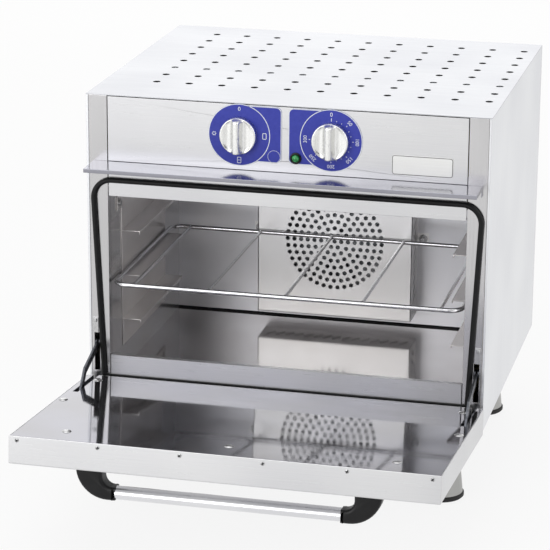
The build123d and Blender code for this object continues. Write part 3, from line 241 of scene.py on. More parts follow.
@dataclass(frozen=True)
class BrushedStainless(Finish):
    """Stainless steel sheet, belt-brushed: fine parallel lines blur its reflections along them."""

    colour: str = "#D6D6D7"
    roughness: float = 0.3
    metallic: float = 1.0
    second: str = "#CDCDCF"
    grain: Grain = Grain.ACROSS

    def dress(self, surface: Surface) -> None:
        """Add brush lines, drawn coarser than the real 0.1 mm so that they show, and slow tone.

        Args:
            surface: The material in the making.
        """
        lines = surface.speckle(self.grain.value, 4.0)
        tone = surface.speckle((160.0,) * 3, 1.0)
        inputs = {0: lines, 1: 0.6, 2: tone}
        both = add_node(surface.tree, "ShaderNodeMath", {"operation": "MULTIPLY_ADD"}, inputs).outputs[0]
        surface.tint(surface.between(both, 0, 1, (0.6, 1.0)), self)
        surface.link(surface.between(lines, self.roughness - 0.03, self.roughness + 0.04), "Roughness")
        surface.relief(lines, 0.0015)


@dataclass(frozen=True)
class BrightStainless(Finish):
    """Stainless steel sheet, bright annealed: nearly a mirror, with slow waves from its rolling."""

    colour: str = "#DADADD"
    roughness: float = 0.09
    metallic: float = 0.9
    second: str = "#D3D1D0"
    wave: float = 0.02

    def dress(self, surface: Surface) -> None:
        """Add the sheet's slow waves, a faint smear of handling and a warm or cool cast.

        Args:
            surface: The material in the making.
        """
        surface.tint(surface.between(surface.speckle((130.0,) * 3), 0, 1), self)
        smear = surface.speckle((45.0, 14.0, 14.0), 3.0)
        surface.link(surface.between(smear, self.roughness - 0.015, self.roughness + 0.03), "Roughness")
        surface.relief(surface.speckle((70.0,) * 3, 0.0), self.wave)


@dataclass(frozen=True)
class GalvanisedSheet(Finish):
    """Hot-dip galvanised steel sheet: flat zinc crystals, each a little lighter or darker."""

    colour: str = "#B4B7BA"
    roughness: float = 0.42
    metallic: float = 1.0
    second: str = "#9DA1A6"
    crystal: float = 9.0

    def dress(self, surface: Surface) -> None:
        """Add the zinc crystals, each with its own tone and shine.

        Args:
            surface: The material in the making.
        """
        inputs = {"Vector": surface.where, "Scale": 1 / (MM * self.crystal)}
        cells = add_node(surface.tree, "ShaderNodeTexVoronoi", None, inputs).outputs["Color"]
        shade = add_node(surface.tree, "ShaderNodeSeparateColor", None, {"Color": cells}).outputs[0]
        surface.tint(shade, self)
        surface.link(surface.between(shade, 0.32, 0.5, (0.0, 1.0)), "Roughness")


@dataclass(frozen=True)
class ZincPlatedSteel(Finish):
    """Pressed steel, electroplated with zinc: a soft, faintly blue shine, with grease where plates rub."""

    colour: str = "#9A9CA2"
    roughness: float = 0.3
    metallic: float = 1.0
    second: str = "#6E7076"
    marks: Triple = (3.0, 7.0, 7.0)
    detail: float = 4.0
    shine: Pair = (0.22, 0.44)
    relief: float = 0.02


@dataclass(frozen=True)
class DrawnWire(Finish):
    """Steel wire, drawn and electropolished: bright, with small changes of shine along it."""

    colour: str = "#E2E2E4"
    roughness: float = 0.14
    metallic: float = 1.0
    second: str = "#C9C9CC"
    marks: Triple = (6.0, 6.0, 1.5)
    shine: Pair = (0.1, 0.22)


@dataclass(frozen=True)
class TurnedSteel(Finish):
    """Stainless screws, nuts and pins, cold-headed and tumbled: bright with small scuffs."""

    colour: str = "#D2D2D2"
    roughness: float = 0.25
    metallic: float = 1.0
    second: str = "#A8A8AA"
    marks: Triple = (1.2, 1.2, 1.2)
    shine: Pair = (0.18, 0.36)


@dataclass(frozen=True)
class Phenolic(Finish):
    """Black phenolic, compression moulded: nearly black, satin, a little worn, with a fine skin."""

    colour: str = "#121214"
    roughness: float = 0.34
    second: str = "#1B1B1D"
    marks: Triple = (18.0, 18.0, 18.0)
    span: Pair = (0.5, 0.8)
    shine: Pair = (0.28, 0.45)
    relief: float = 0.02
    skin: float = 0.9
    specular: float = 0.3


@dataclass(frozen=True)
class SiliconeRubber(Finish):
    """Black silicone, extruded: matt, with faint smears and the dust that silicone holds."""

    colour: str = "#0E0E0F"
    roughness: float = 0.46
    second: str = "#18181A"
    marks: Triple = (9.0, 9.0, 9.0)
    detail: float = 4.0
    span: Pair = (0.45, 0.75)
    shine: Pair = (0.38, 0.6)
    relief: float = 0.015
    skin: float = 0.8
    skin_detail: float = 1.0
    specular: float = 0.25


@dataclass(frozen=True)
class NitrileRubber(Finish):
    """Black nitrile rubber, moulded: dull and grained, with pale scuffs round its foot."""

    colour: str = "#141414"
    roughness: float = 0.7
    second: str = "#232322"
    marks: Triple = (7.0, 7.0, 3.0)
    detail: float = 4.0
    span: Pair = (0.5, 0.8)
    relief: float = 0.05
    skin: float = 1.1


@dataclass(frozen=True)
class MineralWool(Finish):
    """Mineral wool, spun and pressed to a slab: yellow-brown tangled fibres, no shine at all."""

    colour: str = "#CDBF8E"
    roughness: float = 0.97
    second: str = "#A3925F"
    marks: Triple = (11.0, 2.0, 1.2)
    detail: float = 6.0
    relief: float = 0.9


@dataclass(frozen=True)
class SatinAluminium(Finish):
    """Knob of metallised plastic with a satin aluminium face: soft and silvery."""

    colour: str = "#F0F0EE"
    roughness: float = 0.24
    metallic: float = 1.0
    second: str = "#E0E0DE"
    marks: Triple = (0.9, 0.9, 14.0)
    shine: Pair = (0.2, 0.32)


@dataclass(frozen=True)
class PrintedAluminium(Finish):
    """Dial plate of aluminium sheet, screen-printed in blue: nearly even ink with a satin coat."""

    colour: str = "#2A36A8"
    roughness: float = 0.38
    second: str = "#2430A0"
    detail: float = 4.0
    shine: Pair = (0.34, 0.44)
    relief: float = 0.004
    skin: float = 0.8
    skin_detail: float = 1.0


@dataclass(frozen=True)
class PrintedInk(Finish):
    """Screen-printed ink lines: thin, flat, with slight changes of tone."""

    colour: str = "#EEF1F4"
    second: str = "#DDE2EA"
    marks: Triple = (2.0, 2.0, 2.0)


@dataclass(frozen=True)
class ClearTint(Finish):
    """Lamp lens of tinted polycarbonate: glossy, deep green, paler where light plays inside."""

    colour: str = "#0B7A34"
    roughness: float = 0.12
    second: str = "#2FC05E"
    marks: Triple = (3.5, 3.5, 3.5)
    detail: float = 2.0
    span: Pair = (0.4, 0.7)
    coat: float = 0.6


@dataclass(frozen=True)
class OxidisedSheath(Finish):
    """Heating element sheath of nickel steel, oxidised by use: dark olive with straw patches."""

    colour: str = "#6E6A60"
    roughness: float = 0.45
    metallic: float = 1.0
    second: str = "#4A4A48"
    marks: Triple = (30.0, 12.0, 30.0)
    shine: Pair = (0.36, 0.55)


@dataclass(frozen=True)
class DieCastAluminium(Finish):
    """Die-cast aluminium, as cast: grey, with the mould's fine pitting."""

    colour: str = "#A7A8AA"
    metallic: float = 1.0
    second: str = "#8D8E91"
    marks: Triple = (1.4, 1.4, 1.4)
    detail: float = 4.0
    shine: Pair = (0.42, 0.6)
    relief: float = 0.03


@dataclass(frozen=True)
class MouldedNylon(Finish):
    """Off-white glass-filled nylon, injection moulded: dull, with short flow marks."""

    colour: str = "#DEDBD0"
    second: str = "#CFCBBE"
    marks: Triple = (7.0, 3.0, 3.0)
    relief: float = 0.02
    skin: float = 1.0


# Forms: vertices and faces in millimetres


@dataclass
class Form:
    """The points and faces of one mesh, in millimetres."""

    points: list[Vector] = field(default_factory=list)
    faces: list[tuple[int, ...]] = field(default_factory=list)

    def moved(self, matrix: Matrix) -> Form:
        """Return this form moved by a matrix."""
        return Form([matrix @ p for p in self.points], list(self.faces))

    def shifted(self, x: float, y: float, z: float) -> Form:
        """Return this form shifted along the axes."""
        return self.moved(Matrix.Translation((x, y, z)))

    def mirrored(self) -> Form:
        """Return this form's mirror image about the oven's middle plane."""
        flipped = [Vector((-p.x, p.y, p.z)) for p in self.points]
        return Form(flipped, [tuple(reversed(f)) for f in self.faces])


def joined(forms: Iterable[Form]) -> Form:
    """Return several forms as one.

    Args:
        forms: The forms.

    Returns:
        The form, in millimetres.
    """
    whole = Form()
    for form in forms:
        start = len(whole.points)
        whole.points += form.points
        whole.faces += [tuple(i + start for i in f) for f in form.faces]
    return whole


def facing(
    origin: Sequence[float], direction: Sequence[float] = OUT, up: Sequence[float] = UP
) -> Matrix:
    """Return the matrix of local axes on a face.

    Args:
        origin: The local origin, in drawing millimetres.
        direction: Where local z points, out of the face.
        up: Roughly where local y points.

    Returns:
        The matrix from local to drawing axes.
    """
    out = Vector(direction).normalized()
    right = Vector(up).cross(out).normalized()
    turn = Matrix((right, out.cross(right), out)).transposed().to_4x4()
    return Matrix.Translation(Vector(origin)) @ turn


def at_front(spot: Pair, y: float) -> Matrix:
    """Return the matrix of local axes at an x and z, facing out of the oven at a depth."""
    return facing((spot[0], y, spot[1]))


def spread(count: int, pitch: float) -> list[float]:
    """Return evenly spaced places about 0."""
    return [(i - (count - 1) / 2) * pitch for i in range(count)]


def polar(radius: float, angle: float, middle: Pair = (0.0, 0.0)) -> Pair:
    """Return the point at a radius and an angle in radians."""
    return middle[0] + radius * math.cos(angle), middle[1] + radius * math.sin(angle)


def circle(radius: float, count: int, middle: Pair = (0.0, 0.0)) -> list[Pair]:
    """Return the points of a circle, anticlockwise."""
    return [polar(radius, math.tau * i / count, middle) for i in range(count)]


def rounded(corners: Sequence[Triple], steps: int = 6) -> list[Pair]:
    """Return a closed outline with rounded corners.

    Args:
        corners: The x, y and radius of each corner in turn.
        steps: The number of runs in each rounded corner.

    Returns:
        The outline's points.
    """
    outline: list[Pair] = []
    for i, (x, y, radius) in enumerate(corners):
        here = Vector((x, y))
        if radius <= 0:
            outline.append((x, y))
            continue
        back = (Vector(corners[i - 1][:2]) - here).normalized()
        ahead = (Vector(corners[(i + 1) % len(corners)][:2]) - here).normalized()
        half = back.angle(ahead) / 2
        middle = here + (back + ahead).normalized() * (radius / math.sin(half))
        reach = radius / math.tan(half)
        first = here + back * reach - middle
        turn = first.angle_signed(here + ahead * reach - middle)
        for step in range(steps + 1):
            arm = first.copy()
            arm.rotate(Matrix.Rotation(-turn * step / steps, 2))
            outline.append(tuple(middle + arm))
    return outline


def oblong(low: Pair, high: Pair, corner: float = 0.0, steps: int = 3) -> list[Pair]:
    """Return the outline of an upright oblong.

    Args:
        low: Its lowest corner.
        high: Its highest corner.
        corner: The radius of its corners, or 0 for sharp ones.
        steps: The number of runs in each rounded corner.

    Returns:
        The outline, anticlockwise from its lowest corner.
    """
    (x0, y0), (x1, y1) = low, high
    return rounded([(x0, y0, corner), (x1, y0, corner), (x1, y1, corner), (x0, y1, corner)], steps)


def slot_outline(length: float, width: float, middle: Pair, angle: float) -> list[Pair]:
    """Return the outline of a slot with round ends.

    Args:
        length: The slot's whole length.
        width: Its width.
        middle: Its middle.
        angle: How far it is turned, in degrees.

    Returns:
        The outline's points.
    """
    half = length / 2 - width / 2
    outline: list[Pair] = []
    for end in (1, -1):
        for step in range(7):
            a = math.pi * (step / 6 - 0.5) + (0 if end > 0 else math.pi)
            outline.append(polar(width / 2, a, (end * half, 0.0)))
    c, s = math.cos(math.radians(angle)), math.sin(math.radians(angle))
    return [(middle[0] + x * c - y * s, middle[1] + x * s + y * c) for x, y in outline]


def lathe(profile: Sequence[Pair], count: int = 48) -> Form:
    """Return a turned form about local z.

    Args:
        profile: The radius and height of each ring, from one end to the other.
        count: The number of sides.

    Returns:
        The form; a ring of radius 0 closes to a point.
    """
    form = Form()
    rings: list[list[int]] = []
    for radius, height in profile:
        start = len(form.points)
        if radius <= 1e-6:
            form.points.append(Vector((0, 0, height)))
            rings.append([start] * count)
            continue
        form.points += [Vector((x, y, height)) for x, y in circle(radius, count)]
        rings.append(list(range(start, start + count)))
    for low, high in zip(rings, rings[1:]):
        for i in range(count):
            j = (i + 1) % count
            loop = dict.fromkeys((low[i], low[j], high[j], high[i]))
            if len(loop) > 2:
                form.faces.append(tuple(loop))
    return form


def skinned(rings: Sequence[Sequence[Vector]]) -> Form:
    """Return the skin through rings of points.

    Args:
        rings: The rings in turn, each with the same number of points.

    Returns:
        The skin, open at its first and last ring.
    """
    count = len(rings[0])
    form = Form([point for ring in rings for point in ring])
    for low in range(0, len(form.points) - count, count):
        high = low + count
        for i in range(count):
            j = (i - 1) % count
            form.faces.append((low + i, low + j, high + j, high + i))
    return form


def sweep(
    path: Sequence[Vector], profile: Sequence[Pair], normal: Vector = UP, closed: bool = False
) -> Form:
    """Return a profile run along a path.

    Args:
        path: The points of the path, in drawing millimetres.
        profile: The profile's points: across the path, and along normal.
        normal: The direction that the profile's second axis keeps.
        closed: Whether the path meets itself.

    Returns:
        The swept form, with flat ends if the path is open.
    """
    form = Form()
    count, width = len(path), len(profile)
    for i, here in enumerate(path):
        before = path[i - 1] if closed or i else here
        after = path[(i + 1) % count] if closed or i < count - 1 else here
        side = (after - before).cross(normal).normalized()
        form.points += [here + side * u + normal * v for u, v in profile]
    for i in range(count if closed else count - 1):
        ahead = (i + 1) % count
        for k in range(width):
            m = (k + 1) % width
            form.faces.append((i * width + k, i * width + m, ahead * width + m, ahead * width + k))
    if not closed:
        form.faces.append(tuple(range(width)))
        form.faces.append(tuple(range((count - 1) * width, count * width)))
    return form


def run_across(half: float, y: float, z: float, profile: Sequence[Pair]) -> Form:
    """Return a profile run straight across the oven, from -half to half."""
    return sweep([Vector((x, y, z)) for x in (-half, half)], profile)


def plate(outline: Sequence[Pair], holes: Sequence[Sequence[Pair]], thickness: float) -> Form:
    """Return a flat plate with holes.

    Args:
        outline: The plate's outline.
        holes: The outline of each hole.
        thickness: Its thickness.

    Returns:
        The plate, standing on local z 0.
    """
    curve = bpy.data.curves.new("cut", "CURVE")
    curve.dimensions, curve.fill_mode, curve.extrude = "2D", "BOTH", thickness / 2
    for loop in (outline, *holes):
        spline = curve.splines.new("POLY")
        spline.points.add(len(loop) - 1)
        for point, (x, y) in zip(spline.points, loop):
            point.co = (x, y, 0, 1)
        spline.use_cyclic_u = True
    return form_of_curve(curve).shifted(0, 0, thickness / 2)


def lettering(text: str, size: float, thickness: float) -> Form:
    """Return printed figures.

    Args:
        text: What they say.
        size: Their height.
        thickness: The ink's thickness.

    Returns:
        The figures, centred on the local origin and reading along x.
    """
    curve = bpy.data.curves.new("figures", "FONT")
    curve.body, curve.size, curve.extrude = text, size, thickness / 2
    curve.align_x, curve.align_y = "CENTER", "CENTER"
    curve.resolution_u = 3
    return form_of_curve(curve).shifted(0, 0, thickness / 2)


def form_of_curve(curve: bpy.types.Curve) -> Form:
    """Return the mesh of a curve as a form, and remove the curve.

    Args:
        curve: The curve.

    Returns:
        The form, in millimetres.
    """
    drawn = placed("drawn", curve)
    mesh = bpy.data.meshes.new_from_object(drawn.evaluated_get(bpy.context.evaluated_depsgraph_get()))
    form = Form([v.co.copy() for v in mesh.vertices], [tuple(p.vertices) for p in mesh.polygons])
    bpy.data.objects.remove(drawn)
    bpy.data.meshes.remove(mesh)
    bpy.data.curves.remove(curve)
    return form


def placed(name: str, data: bpy.types.ID) -> bpy.types.Object:
    """Return a new object of some data, put into the scene.

    Args:
        name: The object's name.
        data: What it shows: a mesh, curve, lamp or camera.

    Returns:
        The object.
    """
    made = bpy.data.objects.new(name, data)
    bpy.context.scene.collection.objects.link(made)
    return made


# Joiner: from forms to pieces on bodies


@dataclass
class Joiner:
    """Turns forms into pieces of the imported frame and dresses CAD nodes."""

    front: float = 0.0
    underside: float = 0.0
    pieces: int = 0

    def __post_init__(self) -> None:
        """Find the drawing axes from the top cover, whose top is at the body's height."""
        low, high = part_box("top_cover")
        self.front, self.underside = low.y, high.z - BODY_HEIGHT * MM

    def point(self, x: float, y: float, z: float) -> Vector:
        """Return a drawing point in the frame, in metres."""
        return Vector((x * MM, self.front + y * MM, self.underside + z * MM))

    def door_turn(self) -> Matrix:
        """Return the move, in drawing millimetres, from the closed door to the open one.

        Returns:
            The matrix.
        """
        hinge = next(j for j in frame["joints"] if j["name"] == "door_hinge")
        _, y, z = hinge["pos_m"]
        pivot = Vector((0, (y - self.front) / MM, (z - self.underside) / MM))
        turn = Matrix.Rotation(math.radians(-min(hinge["range_deg"])), 4, "X")
        return Matrix.Translation(pivot) @ turn @ Matrix.Translation(-pivot)

    def add(
        self,
        name: str,
        form: Form,
        body: str,
        finish: Finish,
        replaces: Sequence[str] = (),
        slot: str | None = None,
        crease: float = 32.0,
    ) -> bpy.types.Object:
        """Make a piece of a form.

        Args:
            name: The piece's name.
            form: Its points and faces, in drawing millimetres.
            body: The CAD body that it rides on.
            finish: Its finish.
            replaces: CAD nodes that it stands for.
            slot: The record's material slot; not used.
            crease: Edges sharper than this angle, in degrees, stay sharp.

        Returns:
            The new object.
        """
        mesh = bpy.data.meshes.new(name)
        mesh.from_pydata([self.point(*p) for p in form.points], [], form.faces)
        work = bmesh.new()
        work.from_mesh(mesh)
        bmesh.ops.remove_doubles(work, verts=work.verts, dist=2e-6)
        bmesh.ops.recalc_face_normals(work, faces=work.faces)
        work.to_mesh(mesh)
        work.free()
        mesh.shade_smooth()
        mesh.set_sharp_from_angle(angle=math.radians(crease))
        mesh.materials.append(finish.material())
        made = placed(name, mesh)
        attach(made, body)
        if replaces:
            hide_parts(*replaces)
        self.pieces += 1
        LOG.info("%s: %d faces on %s", name, len(mesh.polygons), body)
        return made

    def dress(self, finish: Finish, nodes: Iterable[str], edge: float = 0.0) -> None:
        """Give CAD nodes a finish, and soften their edges.

        Args:
            finish: The finish.
            nodes: The names of the nodes.
            edge: The width of the softened edges in millimetres, or 0 for none.
        """
        for name in nodes:
            node = frame["nodes"][name]
            for place in node.material_slots:
                place.material = finish.material()
            if edge:
                weld = node.modifiers.new("weld", "WELD")
                weld.merge_threshold = 1e-5
                soft = node.modifiers.new("edges", "BEVEL")
                soft.width, soft.segments = edge * MM, 2
                soft.limit_method, soft.angle_limit = "ANGLE", math.radians(35)
                node.modifiers.new("normals", "WEIGHTED_NORMAL")
            LOG.info("%s: dressed in %s", name, type(finish).__name__)


# Sub-assemblies


@dataclass
class Casework:
    """The steel case: top cover with its round vents, sides, back, pillars and base."""

    width: float = 600.0
    depth: float = 508.0
    height: float = BODY_HEIGHT
    sheet: float = 1.2
    corner: float = 1.5
    edge: float = 0.5
    vent_lip: float = 0.3
    hem: float = 9.0
    vent_radius: float = 5.6
    vent_pitch: float = 50.0
    vent_first: Pair = (-220.7, 100.0)
    vent_count: tuple[int, int] = (11, 8)

    def top_cover(self) -> Form:
        """Return the top sheet with round vents, hemmed round its edge and laid on the body.

        Returns:
            The form, in millimetres.
        """
        half, middle = self.width / 2, self.depth / 2
        outline = oblong((-half, 0.0), (half, self.depth), self.corner)
        columns, rows = self.vent_count
        holes = []
        for column in range(columns):
            for row in range(rows):
                x = self.vent_first[0] + column * self.vent_pitch
                y = self.vent_first[1] + row * self.vent_pitch
                holes.append(circle(self.vent_radius, 20, (x, y)))
        across, along = 1 - self.hem / half, 1 - self.hem / middle
        inside = [(x * across, middle + (y - middle) * along) for x, y in outline]
        face = plate(outline, holes, self.vent_lip).shifted(0, 0, self.height - self.vent_lip)
        hem = plate(outline, [inside], self.sheet - self.vent_lip).shifted(0, 0, self.height - self.sheet)
        return joined([face, hem])

    def build(self, joiner: Joiner) -> None:
        """Make the top cover and dress the case's CAD nodes.

        Args:
            joiner: What turns forms into pieces and dresses CAD nodes.
        """
        # The top cover's stainless is a darker copy of the panel's: painted shade.
        pale = BrushedStainless("#BFC0C3", 0.4, second="#B7B8BC")
        # The side panels' stainless is a lighter copy of the panel's, standing in for the light on them:
        # painted light.
        side = BrushedStainless("#E8E9EB", 0.4, second="#E0E1E4", grain=Grain.UPRIGHT)
        pillar = BrushedStainless("#CCCBCC", 0.22, second="#C1C0C1", grain=Grain.UPRIGHT)
        sill = BrushedStainless("#D2D2D5", metallic=0.8, second="#C9C9CC")
        joiner.add("top_cover_vented", self.top_cover(), "oven_body", pale, ["top_cover"], "case_steel")
        joiner.dress(side, ("side_panel_left", "side_panel_right"), self.edge)
        joiner.dress(pillar, ("pillar_left", "pillar_right"), self.edge)
        joiner.dress(BrushedStainless(), ("control_panel", "front_header"), self.edge)
        # The canopy's grey is a darker copy of the case's stainless: painted shade.
        joiner.dress(BrushedStainless("#A0A0A8", 0.14, second="#94949C"), ("canopy",), self.edge)
        joiner.dress(sill, ("door_sill",), self.edge)
        joiner.dress(GalvanisedSheet(), ("back_panel", "base_pan", "cross_brace", "motor_mount"))
        joiner.dress(TurnedSteel(), ("back_screws", "foot_studs"))


@dataclass
class ControlPanel:
    """The controls: two printed dial plates, two knobs, the lamp and the bare plate."""

    dial_x: float = 68.0
    dial_z: float = 423.7
    dial_radius: float = 46.0
    tab_reach: float = 62.8
    tab_top: float = 44.0
    tab_bottom: float = 38.5
    tab_corner: float = 8.0
    plate_face: float = -1.0
    ink: float = 0.05
    line: float = 1.1
    nought_reach: float = 38.2
    nought_size: float = 8.5
    figure_reach: float = 38.0
    figure_size: float = 7.6
    zero_tick: Pair = (28.5, 33.0)
    main_tick: Pair = (31.0, 33.0)
    minor_tick: Pair = (29.0, 30.6)
    tick_line: float = 0.9
    symbol_reach: float = 37.5
    symbol_line: float = 0.8
    box_half: Pair = (2.6, 4.2)
    box_corner: float = 0.8
    mark_half: float = 2.4
    dot_radius: float = 0.55
    dot_line: float = 0.7
    blank_gap: float = 0.6
    blank_line: float = 0.45
    knob_radius: float = 27.0
    knob_skirt: float = 12.0
    knob_height: float = 25.0
    knob_gap: float = 0.5
    knob_rounding: float = 2.0
    ridge_half: float = 2.6
    flank_half: float = 9.5
    ridge_inset: float = 0.8
    ridge_rise: float = 3.0
    dish_place: float = 14.0
    dish_width: float = 6.0
    dish_depth: float = 1.6
    lamp: Pair = (16.2, 394.3)
    bezel_radius: float = 8.5
    lens_radius: float = 5.5
    badge: Pair = (201.5, 394.5)
    badge_size: Pair = (89.0, 29.0)
    badge_face: float = -0.8
    badge_line: float = 0.9
    badge_corner: float = 3.2

    def on_dial(self, side: int, y: float) -> Matrix:
        """Return the local axes about a knob's axis, at a depth."""
        return at_front((side * self.dial_x, self.dial_z), y)

    def arc_ends(self, inset: float) -> Pair:
        """Return the two angles, in radians, where a dial plate's round side meets its tab.

        Args:
            inset: How far inside the plate's edge the line runs.

        Returns:
            The upper and the lower angle, for the plate whose tab is on the left.
        """
        radius = self.dial_radius - inset
        top, bottom = self.tab_top - inset, self.tab_bottom - inset
        upper = math.atan2(top, -math.sqrt(radius**2 - top**2))
        return upper, math.atan2(-bottom, -math.sqrt(radius**2 - bottom**2))

    def outline(self, side: int, inset: float, steps: int = 60) -> list[Pair]:
        """Return a dial plate's outline.

        Args:
            side: -1 for the left plate, 1 for the right.
            inset: How far inside the plate's edge the line runs.
            steps: The number of runs along its round side.

        Returns:
            The outline's points, about the knob's axis.
        """
        reach, corner = self.tab_reach - inset, self.tab_corner - inset
        top, bottom = self.tab_top - inset, self.tab_bottom - inset
        start, end = self.arc_ends(inset)
        arc = [end + (start - end) * i / steps for i in range(steps + 1)]
        tab = rounded([(0, top, 0), (-reach, top, corner), (-reach, -bottom, corner), (0, -bottom, 0)])
        points = [polar(self.dial_radius - inset, a) for a in arc] + tab[1:-1]
        return [(side * x, y) for x, y in points]

    def ribbon(self, points: Sequence[Pair], width: float, closed: bool = True) -> Form:
        """Return a printed line along local points.

        Args:
            points: The points of the line's middle.
            width: The line's width.
            closed: Whether the line meets itself.

        Returns:
            The line, as thick as the ink.
        """
        path = [Vector((x, y, 0)) for x, y in points]
        return sweep(path, oblong((-width / 2, 0), (width / 2, self.ink)), closed=closed)

    def ring(self, middle: Pair, radius: float, width: float, start: float = 0, end: float = 360) -> Form:
        """Return a printed ring, or an arc of one.

        Args:
            middle: The ring's middle.
            radius: The radius of the line's middle.
            width: The line's width.
            start: The angle where an arc starts, in degrees.
            end: The angle where it ends.

        Returns:
            The ring.
        """
        closed = end - start >= 360
        count = max(8, int((end - start) / 5))
        angles = [math.radians(start + (end - start) * i / count) for i in range(count + (not closed))]
        return self.ribbon([polar(radius, a, middle) for a in angles], width, closed)

    def tick(self, clock: float, inner: float, outer: float, width: float) -> Form:
        """Return a printed radial tick, at an angle in degrees clockwise from the top."""
        angle = math.radians(90 - clock)
        return self.ribbon([polar(inner, angle), polar(outer, angle)], width, False)

    def figure(self, text: str, clock: float, reach: float, size: float) -> Form:
        """Return printed figures at a reach from the dial's middle, their foot towards it."""
        turn = Matrix.Rotation(math.radians(-clock), 4, "Z")
        return lettering(text, size, self.ink).shifted(0, reach, 0).moved(turn)

    def printing(self, side: int) -> Form:
        """Return the white printing that both plates share: the border and the dial's own ring.

        Args:
            side: -1 for the left dial, 1 for the right.

        Returns:
            The form, in millimetres.
        """
        half_line = self.line / 2
        start, bottom = (math.degrees(a) for a in self.arc_ends(0.0))
        end = 360 + bottom
        if side < 0:
            start, end = 180 - end, 180 - start
        border = self.ribbon(self.outline(side, half_line), self.line)
        return joined([border, self.ring((0, 0), self.dial_radius - half_line, self.line, start, end)])

    def thermostat_scale(self) -> Form:
        """Return the temperature figures with a tick under each, and short ticks between them.

        Returns:
            The form, in millimetres.
        """
        nought = self.figure("0", 0, self.nought_reach, self.nought_size)
        forms = [nought, self.tick(0, *self.zero_tick, self.tick_line)]
        for step in range(1, 7):
            clock = 45.0 * step
            forms.append(self.figure(str(50 * step), clock, self.figure_reach, self.figure_size))
            forms.append(self.tick(clock, *self.main_tick, self.tick_line))
        between = [clock for clock in range(15, 270, 15) if clock % 45]
        forms += [self.tick(clock, *self.minor_tick, self.symbol_line) for clock in between]
        return joined(forms)

    def function_marks(self) -> Form:
        """Return the function marks: nought, a plain box, a barred box and a ring of dots.

        Returns:
            The marks, and the thin ring printed where the lamp's mirror image would be.
        """
        reach, line, half = self.symbol_reach, self.symbol_line, self.mark_half
        x, y = self.box_half
        box = oblong((-x, -y), (x, y), self.box_corner, 2)
        dots = joined(self.ring(spot, self.dot_radius, self.dot_line) for spot in circle(half, 6))
        blank = (self.dial_x - self.lamp[0], self.lamp[1] - self.dial_z)
        return joined(
            [
                self.figure("0", 0, self.nought_reach, self.nought_size),
                self.ribbon(box, 1.0).shifted(reach, 0, 0),
                self.ribbon(box, line).shifted(0, -reach, 0),
                self.ribbon([(-half, 0), (half, 0)], line, False).shifted(0, -reach, 0),
                dots.shifted(-reach, 0, 0),
                self.ring(blank, self.bezel_radius + self.blank_gap, self.blank_line),
            ]
        )

    def knob_height_at(self, x: float, y: float) -> float:
        """Return the height of the knob's face at a local point.

        Args:
            x: Across the grip.
            y: Along the grip, towards the pointer.

        Returns:
            The height above the knob's back, in millimetres.
        """
        reach, rounding = math.hypot(x, y), self.knob_rounding
        rim = max(0.0, reach - (self.knob_radius - rounding))
        skirt = self.knob_skirt - rounding + math.sqrt(max(0.0, rounding**2 - rim**2))
        share = min(1.0, max(0.0, (abs(x) - self.ridge_half) / (self.flank_half - self.ridge_half)))
        fall = share * share * (3 - 2 * share)
        ends = min(1.0, max(0.0, (self.knob_radius - self.ridge_inset - reach) / self.ridge_rise))
        lift = (self.knob_height - self.knob_skirt) * (1 - fall) * math.sin(ends * math.pi / 2)
        dish = self.dish_depth * math.exp(-(((abs(x) - self.dish_place) / self.dish_width) ** 2)) * ends
        return skirt + lift - dish

    def knob(self, side: int) -> Form:
        """Return a knob: a round face with a ridge along it, and its drafted side.

        Args:
            side: -1 for the left dial, 1 for the right.

        Returns:
            The form, in millimetres.
        """
        sides = 96
        middle = [0.01, 1.5, 3, 4.5, 6, 7.5, 9, 11, 13, 15, 17, 19, 21]
        rim = [22.5, 23.7, 24.6, 25.3, 25.9, 26.4, 26.8, 27.0]
        skirt = [(self.knob_skirt - 3.5, 27.0), (1.0, 26.9), (0.0, 26.2), (0.0, 1.0)]
        rings = []
        for radius in middle + rim:
            rings.append([Vector((x, y, self.knob_height_at(x, y))) for x, y in circle(radius, sides)])
        for height, radius in skirt:
            rings.append([Vector((x, y, height)) for x, y in circle(radius, sides)])
        return skinned(rings).moved(self.on_dial(side, self.plate_face - self.knob_gap))

    def bezel(self) -> Form:
        """Return the lamp's black bezel: a rounded ring with a stepped seat.

        Returns:
            The form, in millimetres.
        """
        r, seat = self.bezel_radius, self.lens_radius + 0.1
        ring = [(r - 0.3, 0), (r, 0.3), (r, 1.8), (r - 0.7, 2.7)]
        step = [(seat + 1.2, 3.0), (seat, 2.4), (seat, 1.0), (0, 1.0)]
        return lathe(ring + step).moved(at_front(self.lamp, self.plate_face))

    def lens(self) -> Form:
        """Return the lamp's domed lens with ribs round its foot.

        Returns:
            The form, in millimetres.
        """
        r, foot, ribs, rib_depth = self.lens_radius, 0.4, 10, 0.03
        rise = [polar(1.0, math.radians(a)) for a in range(12, 90, 13)]
        dome = [(r * out, foot + (r - 0.5) * up) for out, up in rise]
        form = lathe([(r, 0.0), (r, foot), *dome, (0, r)], 40)
        for p in form.points:
            if 1.0 < math.hypot(p.x, p.y) < 5.3:
                swell = 1 + rib_depth * math.cos(ribs * math.atan2(p.y, p.x))
                p.x, p.y = p.x * swell, p.y * swell
        return form.moved(at_front(self.lamp, self.plate_face - 1.0))

    def badge_border(self) -> Form:
        """Return the dark line round the bare name plate, standing in for the shade in its engraved border:
        painted shade.

        Returns:
            The form, in millimetres.
        """
        x, z = (size / 2 - self.badge_line for size in self.badge_size)
        outline = oblong((-x, -z), (x, z), self.badge_corner, 6)
        return self.ribbon(outline, self.badge_line).moved(at_front(self.badge, self.badge_face))

